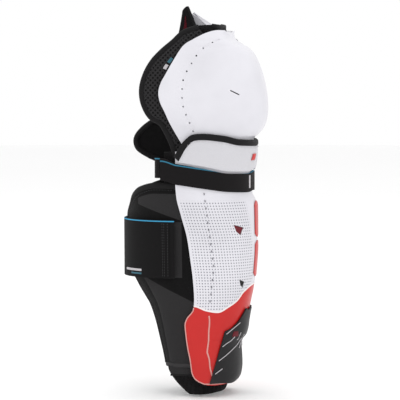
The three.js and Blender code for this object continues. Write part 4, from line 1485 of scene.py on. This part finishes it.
def make_cap():
    relief_line = straight([(318, 9), (341, 0.5), (352, -4), (362, -8), (372, -10), (385, -10),
                            (400, -8.5), (410, -4), (420, 2), (430, 8), (438, 15), (444, 23),
                            (449, 34), (453, 50)])

    def surface(s, t):
        return cap_face(mix(-1, 1, s), t)

    def relief(s, t):
        u = mix(-1, 1, s)
        at = cap_face(u, t)
        height, reach = at.z / TALL, -at.y / DEEP
        away = reach - relief_line(height)
        if height > 449:
            away = 9
        groove = -0.8 * math.exp(-(away / 1.8) ** 2)
        crown = 0.5 * ease(away, 0.5, 5)
        brim = -0.7 * math.exp(-((height - 446 + 0.1 * abs(at.x)) / 1.4) ** 2) if t < 0.3 else 0
        return groove + crown * ease(abs(u), 0.02, 0.2) + brim
    cloth, _ = grid(raised(surface, relief), 110, 96)
    cap = to_object("knee_cap_dome", cloth, finish("white"))
    thicken(cap, sizes().cap_wall / MM)
    apply(cap)

    holes = bmesh.new()
    height = 325.0
    marks = []
    while height < 447:
        marks.append(height)
        lean = (relief_line(height + 1) - relief_line(height - 1)) / 2
        height += max(11 / math.hypot(1, lean), 3.2)
    radius = sizes().cap_hole / MM / 2
    for side in (-1, 1):
        placed = []
        for height in marks:
            at = cap_place(side, relief_line(height), height) if side < 0 or height < 430 else None
            if at is None or any((at[0] - other).length < 6 for other in placed):
                continue
            middle, facing = at
            placed.append(middle)
            turn = facing.to_track_quat("Z", "Y").to_matrix().to_4x4()
            turn.translation = middle
            bmesh.ops.create_cone(holes, cap_ends=True, segments=14,
                                  radius1=radius, radius2=radius, depth=7,
                                  matrix=Matrix.Scale(MM, 4) @ turn)
        first, second = cap_place(side, 47, 386.5), cap_place(side, 59, 380)
        if first and second:
            middle = (first[0] + second[0]) / 2
            facing = (first[1] + second[1]).normalized()
            along = (second[0] - first[0]).normalized()
            across = facing.cross(along)
            basis = Matrix((along * 13.5, across * 1.5, facing * 14)).transposed().to_4x4()
            basis.translation = middle
            bmesh.ops.create_cube(holes, size=1.0, matrix=Matrix.Scale(MM, 4) @ basis)
    cut_with(cap, to_object("cap_cutter", holes, finish("pit")))
    crisp(cap, 40)
    round_edges(cap, 0.7, 2, 60)
    stand_for(cap, "knee_cap", "white_plastic", "knee_cap_shell")


def cap_place(side, reach, height):
    """The point and facing of the cap's face at a reach and height, found by walking to it."""
    u, v = 0.6, 0.5
    for _ in range(60):
        at = cap_face(side * u, v)
        miss = (reach - -at.y / DEEP, height - at.z / TALL)
        if abs(miss[0]) + abs(miss[1]) < 0.05:
            break
        step = 2e-3
        by_u = cap_face(side * (u + step), v) - at
        by_v = cap_face(side * u, v + step) - at
        a, b = -by_u.y / DEEP / step, -by_v.y / DEEP / step
        c, d = by_u.z / TALL / step, by_v.z / TALL / step
        det = a * d - b * c
        if abs(det) < 1e-9:
            return None
        u = clamp(u + 0.6 * (miss[0] * d - miss[1] * b) / det, 0.03, 0.99)
        v = clamp(v + 0.6 * (miss[1] * a - miss[0] * c) / det, 0.01, 0.99)
    else:
        return None
    facing = outward(lambda s, t: cap_face(mix(-1, 1, s), t), (side * u + 1) / 2, v)
    return at, facing


def make_knee_padding():
    def cup(s, t):
        return cap_face(mix(-0.7, 0.7, s), mix(4.05, 12.95, t) / 15)
    foam = pad("knee_cup_foam", raised(cup, -4.3), 36, 28, 7.4, finish("cup"),
               no_seam, pressure=2, reach=0.2)
    stand_for(foam, "knee_cap", "foam_liner", "knee_cap_foam")

    def skin(s, t):
        return knee_liner_face(mix(-1, 1, s), mix(0.0, 1, t))
    liner = pad("knee_liner_pad", raised(skin, -0.5), 56, 40, 3.2, finish("foam"),
                lambda s, t: 0.8 if abs(abs(mix(-1, 1, s)) - 0.4) < 0.03 or abs(t - 0.55) < 0.02
                else 0.0, pressure=3, reach=0.6)
    stand_for(liner, "knee_cap", "foam_liner", "knee_liner")

    def mouth(share):
        return knee_liner_face(mix(-1, 1, share), 0.004)

    def brim(share):
        return inward(mouth(share), 1.2) - Vector((0, 0, 2.4))
    hem = tape("knee_liner_edge_tape", brim, turned_out(mouth), finish("tape"), 6.4, 3.4, 110, 3.0)
    stand_for(hem, "knee_cap", "edge_binding")

    def bridge(s, t):
        u = mix(-0.7, 0.7, s)
        low, high = shin_face(u, SHELL_TOP), knee_liner_face(u, 1)
        low = Vector((low.x * 0.9, low.y * 0.9, low.z + 0.5))
        high = Vector((high.x * 0.97, high.y * 0.97, high.z - 1.2))
        at = low.lerp(high, t)
        fold = 1.2 * math.sin(math.pi * t) * math.sin(5 * math.pi * t)
        return inward(at, fold)
    cloth, _ = grid(bridge, 60, 24)
    area = cloth_area(cloth)
    piece = to_object("knee_bridge_cloth", cloth, finish("stretch"))
    thicken(piece, 2.2, 0.0)
    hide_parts("knee_bridge")
    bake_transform(piece)


def make_wings():
    for side, label in SIDES:
        inner = route(stretch(WING_ROOT, -side))
        outer = route(stretch(WING_EDGE, -side))

        def surface(s, t, side=side, inner=inner, outer=outer):
            return leaf(side, inner, outer, 5.6)(s, mix(0.004, 0.996, t))
        wing = pad(f"{label}_wing_pad", raised(surface, 1.2), 26, 150, 2.4, finish("wing"),
                   no_seam, pressure=4, reach=0.6, smooth=0)
        perforate(wing)
        soften(wing)
        stand_for(wing, "knee_cap", "wing_mesh", f"{label}_wing")

        edge = leaf(side, inner, outer, 3.2)
        line = Route([edge(1, mix(0.003, 0.997, i / 60)) for i in range(61)])

        def facing(share, side=side):
            return Vector((side, 0, 0.15))
        binding = tape(f"{label}_wing_edge_tape", line, facing, finish("tape"), 7.2, 5.4, 150, 2.5)
        stand_for(binding, "knee_cap", "edge_binding", f"{label}_wing_binding")
        seam = leaf(side, inner, outer, 8.4)
        seam_line = Route([seam(1, mix(0.02, 0.98, i / 60)) for i in range(61)])
        row = stitches(f"{label}_wing_stitches", seam_line, facing, finish("thread"), 2.2, 3.8,
                       0.8, 1.75)
        stand_for(row, "knee_cap", "edge_binding")
        flashes = ((0.325, 0.36, "silver"), (0.27, 0.31, "teal_flash")) if side < 0 else ()
        for number, (start, end, look) in enumerate(flashes):
            def label_face(s, t, start=start, end=end):
                return surface(mix(0.44, 0.57, s), mix(start, end, t))
            plate(f"wing_flash_{number}", raised(label_face, 1.75), (6, 10), look, 0.4,
                  "knee_cap", "wing_mesh")

    def tab(s, t):
        return TAB_REAR(mix(0, 0.985, t)).lerp(TAB_FRONT(mix(0, 0.985, t)), s)
    piece = pad("medial_tab_pad", tab, 10, 24, 2.6, finish("stretch"), no_seam,
                offset=0.0, pressure=3, reach=0.5)
    stand_for(piece, "knee_cap", "black_cloth", "medial_tab")

    def lining(s, t):
        half = 0.17 * (1 - 0.7 * t)
        return tab(mix(0.4 - half, 0.4 + half, s), mix(0.24, 0.76, t)) - Vector((1.9, 0, 0))
    plate("medial_tab_red_lining", lining, (8, 16), "lining", 0.9, "knee_cap", "red_lining",
          ["medial_tab_lining"], (0.3, 2), 1.0)

    def tab_rim(share):
        if share < 0.5:
            return tab(0, mix(0.05, 1, share * 2))
        return tab(1, mix(1, 0.05, share * 2 - 1))
    rim = Route([tab_rim(i / 30) for i in range(31)])
    binding = tape("medial_tab_edge_tape", rim, lambda share: ACROSS, finish("tape"), 3.6, 3.6,
                   60, 2.2, 10)
    stand_for(binding, "knee_cap", "edge_binding")


def perforate(piece):
    """Presses staggered round holes into a pad's outer layer, in rows across its flat."""
    data = piece.data
    pitch, radius, depth = WING_PITCH * MM, 1.5 * MM, 0.9 * MM
    for corner in data.vertices:
        near = 1.0
        for half in (0.25, 0.75):
            back = ((corner.co.y / pitch + half) % 1 - 0.5) * pitch
            up = ((corner.co.z / pitch + half) % 1 - 0.5) * pitch
            near = min(near, math.hypot(back, up))
        amount = ease(1 - near / radius, 0, 0.6)
        if amount and abs(corner.normal.x) > 0.3:
            corner.co -= corner.normal * depth * amount
    data.update()


def make_flaps():
    def gusset(s, t):
        height = mix(270, 309, t)
        at = place(-(SHIN_HALF - WRAP_INSET - 1.5), mix(-1, -35, s), height)
        at.x += 0.25 * math.sin(at.z * 420 * MM)
        return at
    piece = plate("lateral_gusset_cloth", gusset, (16, 18), "stretch", 2.4, "shin", "black_cloth",
                  ["lateral_gusset"])

    inner = route(stretch(FLAP_FRONT))
    outer = route(stretch(FLAP_EDGE))

    def surface(s, t):
        return leaf(1, inner, outer, 5.6)(s, mix(0.01, 0.99, t))
    flap = pad("medial_flap_pad", raised(surface, 1.2), 36, 40, 2.4, finish("stretch"),
               lambda s, t: 0.7 if abs(s - 0.5) < 0.03 else 0.0, pressure=3, reach=0.6)
    stand_for(flap, "shin", "black_cloth", "medial_flap")
    edge = leaf(1, inner, outer, 3.2)
    line = Route([edge(1, mix(0.004, 0.996, i / 60)) for i in range(61)])
    binding = tape("medial_flap_edge_tape", line, lambda share: ACROSS, finish("tape"), 7.0, 5.2,
                   110, 2.5)
    stand_for(binding, "shin", "edge_binding", "medial_flap_binding")


def make_stage():
    scene = bpy.context.scene
    middle = Vector((0, 0, 0.2457))
    lamp_aim = Vector((0, 0, 0.25))
    azimuth, elevation, distance = math.radians(-80), math.radians(4), 2.822
    camera = bpy.data.objects.new("camera", bpy.data.cameras.new("camera"))
    camera.data.lens = 200
    camera.data.sensor_width = 36
    camera.data.clip_end = 50
    way = Vector((math.sin(azimuth) * math.cos(elevation), -math.cos(azimuth) * math.cos(elevation),
                  math.sin(elevation)))
    camera.location = middle + way * distance
    camera.rotation_euler = way.to_track_quat("Z", "Y").to_euler()
    scene.collection.objects.link(camera)
    scene.camera = camera
    scene.view_settings.view_transform = "Standard"

    ground = bmesh.new()
    bmesh.ops.create_circle(ground, cap_ends=True, segments=96, radius=7.0)
    floor = Finish("floor", (0.95, 0.95, 0.95), 0.8, specular=0.1)
    grain = floor.noise(floor.object_place(), 0.0008, 2.0)
    shade = floor.blend(grain, (0.95, 0.95, 0.95), (0.97, 0.97, 0.97))
    to_object("floor", ground, floor.done(shade))

    world = bpy.data.worlds.new("studio")
    scene.world = world
    world.use_nodes = True
    colour, strength = world.node_tree.nodes["Background"].inputs[:2]
    colour.default_value = (1, 1, 1, 1)
    strength.default_value = 1.0
    lamps = (("key", (-2.6, -2.0, 2.4), 14, 1.8), ("fill", (-2.4, 1.8, 1.2), 3, 2.0),
             ("rim", (1.6, 2.4, 1.8), 8, 1.2), ("front", (0.4, -3.0, 0.9), 3, 1.6),
             ("top", (0, 0.2, 3.0), 12, 1.6))
    for name, spot, power, size in lamps:
        light = bpy.data.lights.new(name, "AREA")
        light.energy = power
        light.size = size
        lamp = bpy.data.objects.new(name, light)
        lamp.location = spot
        lamp.rotation_euler = (Vector(spot) - lamp_aim).to_track_quat("Z", "Y").to_euler()
        scene.collection.objects.link(lamp)


# ---- Operators, panel and registration ------------------------------------------------------
class SHINGUARD_OT_shells(bpy.types.Operator):
    """Make the white and red shin shells with the piping on their edges"""
    bl_idname = "shinguard.shells"
    bl_label = "Shin shells"

    def execute(self, context):
        make_upper_shell()
        make_lower_shell()
        return {"FINISHED"}


class SHINGUARD_OT_trim(bpy.types.Operator):
    """Make the stitched lines, vents and front strips of the shells"""
    bl_idname = "shinguard.trim"
    bl_label = "Shell trim"

    def execute(self, context):
        make_shell_trim()
        return {"FINISHED"}


class SHINGUARD_OT_guard(bpy.types.Operator):
    """Make the black lower-front guard with its pale stripes"""
    bl_idname = "shinguard.guard"
    bl_label = "Instep guard"

    def execute(self, context):
        make_guard()
        return {"FINISHED"}


class SHINGUARD_OT_shin_padding(bpy.types.Operator):
    """Make the shin liner and the ankle pad"""
    bl_idname = "shinguard.shin_padding"
    bl_label = "Shin padding"

    def execute(self, context):
        make_shin_padding()
        return {"FINISHED"}


class SHINGUARD_OT_collar(bpy.types.Operator):
    """Make the padded collar and its folded tape"""
    bl_idname = "shinguard.collar"
    bl_label = "Collar"

    def execute(self, context):
        make_collar()
        return {"FINISHED"}


class SHINGUARD_OT_wraps(bpy.types.Operator):
    """Make the cloth of both sides, from the side panels round the calf"""
    bl_idname = "shinguard.wraps"
    bl_label = "Calf wraps"

    def execute(self, context):
        make_wraps()
        return {"FINISHED"}


class SHINGUARD_OT_calf_strap(bpy.types.Operator):
    """Make the wide calf strap with its stitched end, hook and loop tape"""
    bl_idname = "shinguard.calf_strap"
    bl_label = "Calf strap"

    def execute(self, context):
        make_calf_strap()
        return {"FINISHED"}


class SHINGUARD_OT_upper_strap(bpy.types.Operator):
    """Make the upper strap with its free end, hook and loop tape"""
    bl_idname = "shinguard.upper_strap"
    bl_label = "Upper strap"

    def execute(self, context):
        make_upper_strap()
        return {"FINISHED"}


class SHINGUARD_OT_cap(bpy.types.Operator):
    """Make the moulded knee cap with its holes and slit"""
    bl_idname = "shinguard.cap"
    bl_label = "Knee cap"

    def execute(self, context):
        make_cap()
        return {"FINISHED"}


class SHINGUARD_OT_knee_padding(bpy.types.Operator):
    """Make the foam cup, the knee liner and the cloth that joins knee and shin"""
    bl_idname = "shinguard.knee_padding"
    bl_label = "Knee padding"

    def execute(self, context):
        make_knee_padding()
        return {"FINISHED"}


class SHINGUARD_OT_wings(bpy.types.Operator):
    """Make the perforated knee wings and the pointed tab"""
    bl_idname = "shinguard.wings"
    bl_label = "Knee wings"

    def execute(self, context):
        make_wings()
        return {"FINISHED"}


class SHINGUARD_OT_flaps(bpy.types.Operator):
    """Make the knee flap and the gusset under the upper strap"""
    bl_idname = "shinguard.flaps"
    bl_label = "Knee flap"

    def execute(self, context):
        make_flaps()
        return {"FINISHED"}


class SHINGUARD_OT_stage(bpy.types.Operator):
    """Make the floor, the lights and the camera"""
    bl_idname = "shinguard.stage"
    bl_label = "Stage"

    def execute(self, context):
        make_stage()
        return {"FINISHED"}


STEPS = (
    SHINGUARD_OT_stage, SHINGUARD_OT_shells, SHINGUARD_OT_trim, SHINGUARD_OT_guard,
    SHINGUARD_OT_shin_padding, SHINGUARD_OT_collar, SHINGUARD_OT_wraps, SHINGUARD_OT_calf_strap,
    SHINGUARD_OT_upper_strap, SHINGUARD_OT_cap, SHINGUARD_OT_knee_padding, SHINGUARD_OT_wings,
    SHINGUARD_OT_flaps,
)


class SHINGUARD_PT_panel(bpy.types.Panel):
    """Lists the guard's pieces, sizes and colours"""
    bl_idname = "SHINGUARD_PT_panel"
    bl_label = "Shin guard"
    bl_space_type = "VIEW_3D"
    bl_region_type = "UI"
    bl_category = "Shin guard"

    def draw(self, context):
        for step in STEPS:
            self.layout.operator(step.bl_idname)
        for group in (context.scene.shin_guard_sizes, context.scene.shin_guard_colours):
            for name in group.bl_rna.properties.keys():
                if name not in ("rna_type", "name"):
                    self.layout.prop(group, name)


CLASSES = (ShinGuardSizes, ShinGuardColours, *STEPS, SHINGUARD_PT_panel)


def register():
    for item in CLASSES:
        bpy.utils.register_class(item)
    bpy.types.Scene.shin_guard_sizes = bpy.props.PointerProperty(type=ShinGuardSizes)
    bpy.types.Scene.shin_guard_colours = bpy.props.PointerProperty(type=ShinGuardColours)


def unregister():
    del bpy.types.Scene.shin_guard_colours
    del bpy.types.Scene.shin_guard_sizes
    for item in reversed(CLASSES):
        bpy.utils.unregister_class(item)


def main():
    register()
    make_finishes()
    for step in STEPS:
        group, name = step.bl_idname.split(".")
        getattr(getattr(bpy.ops, group), name)()


if __name__ == "__main__":
    main()
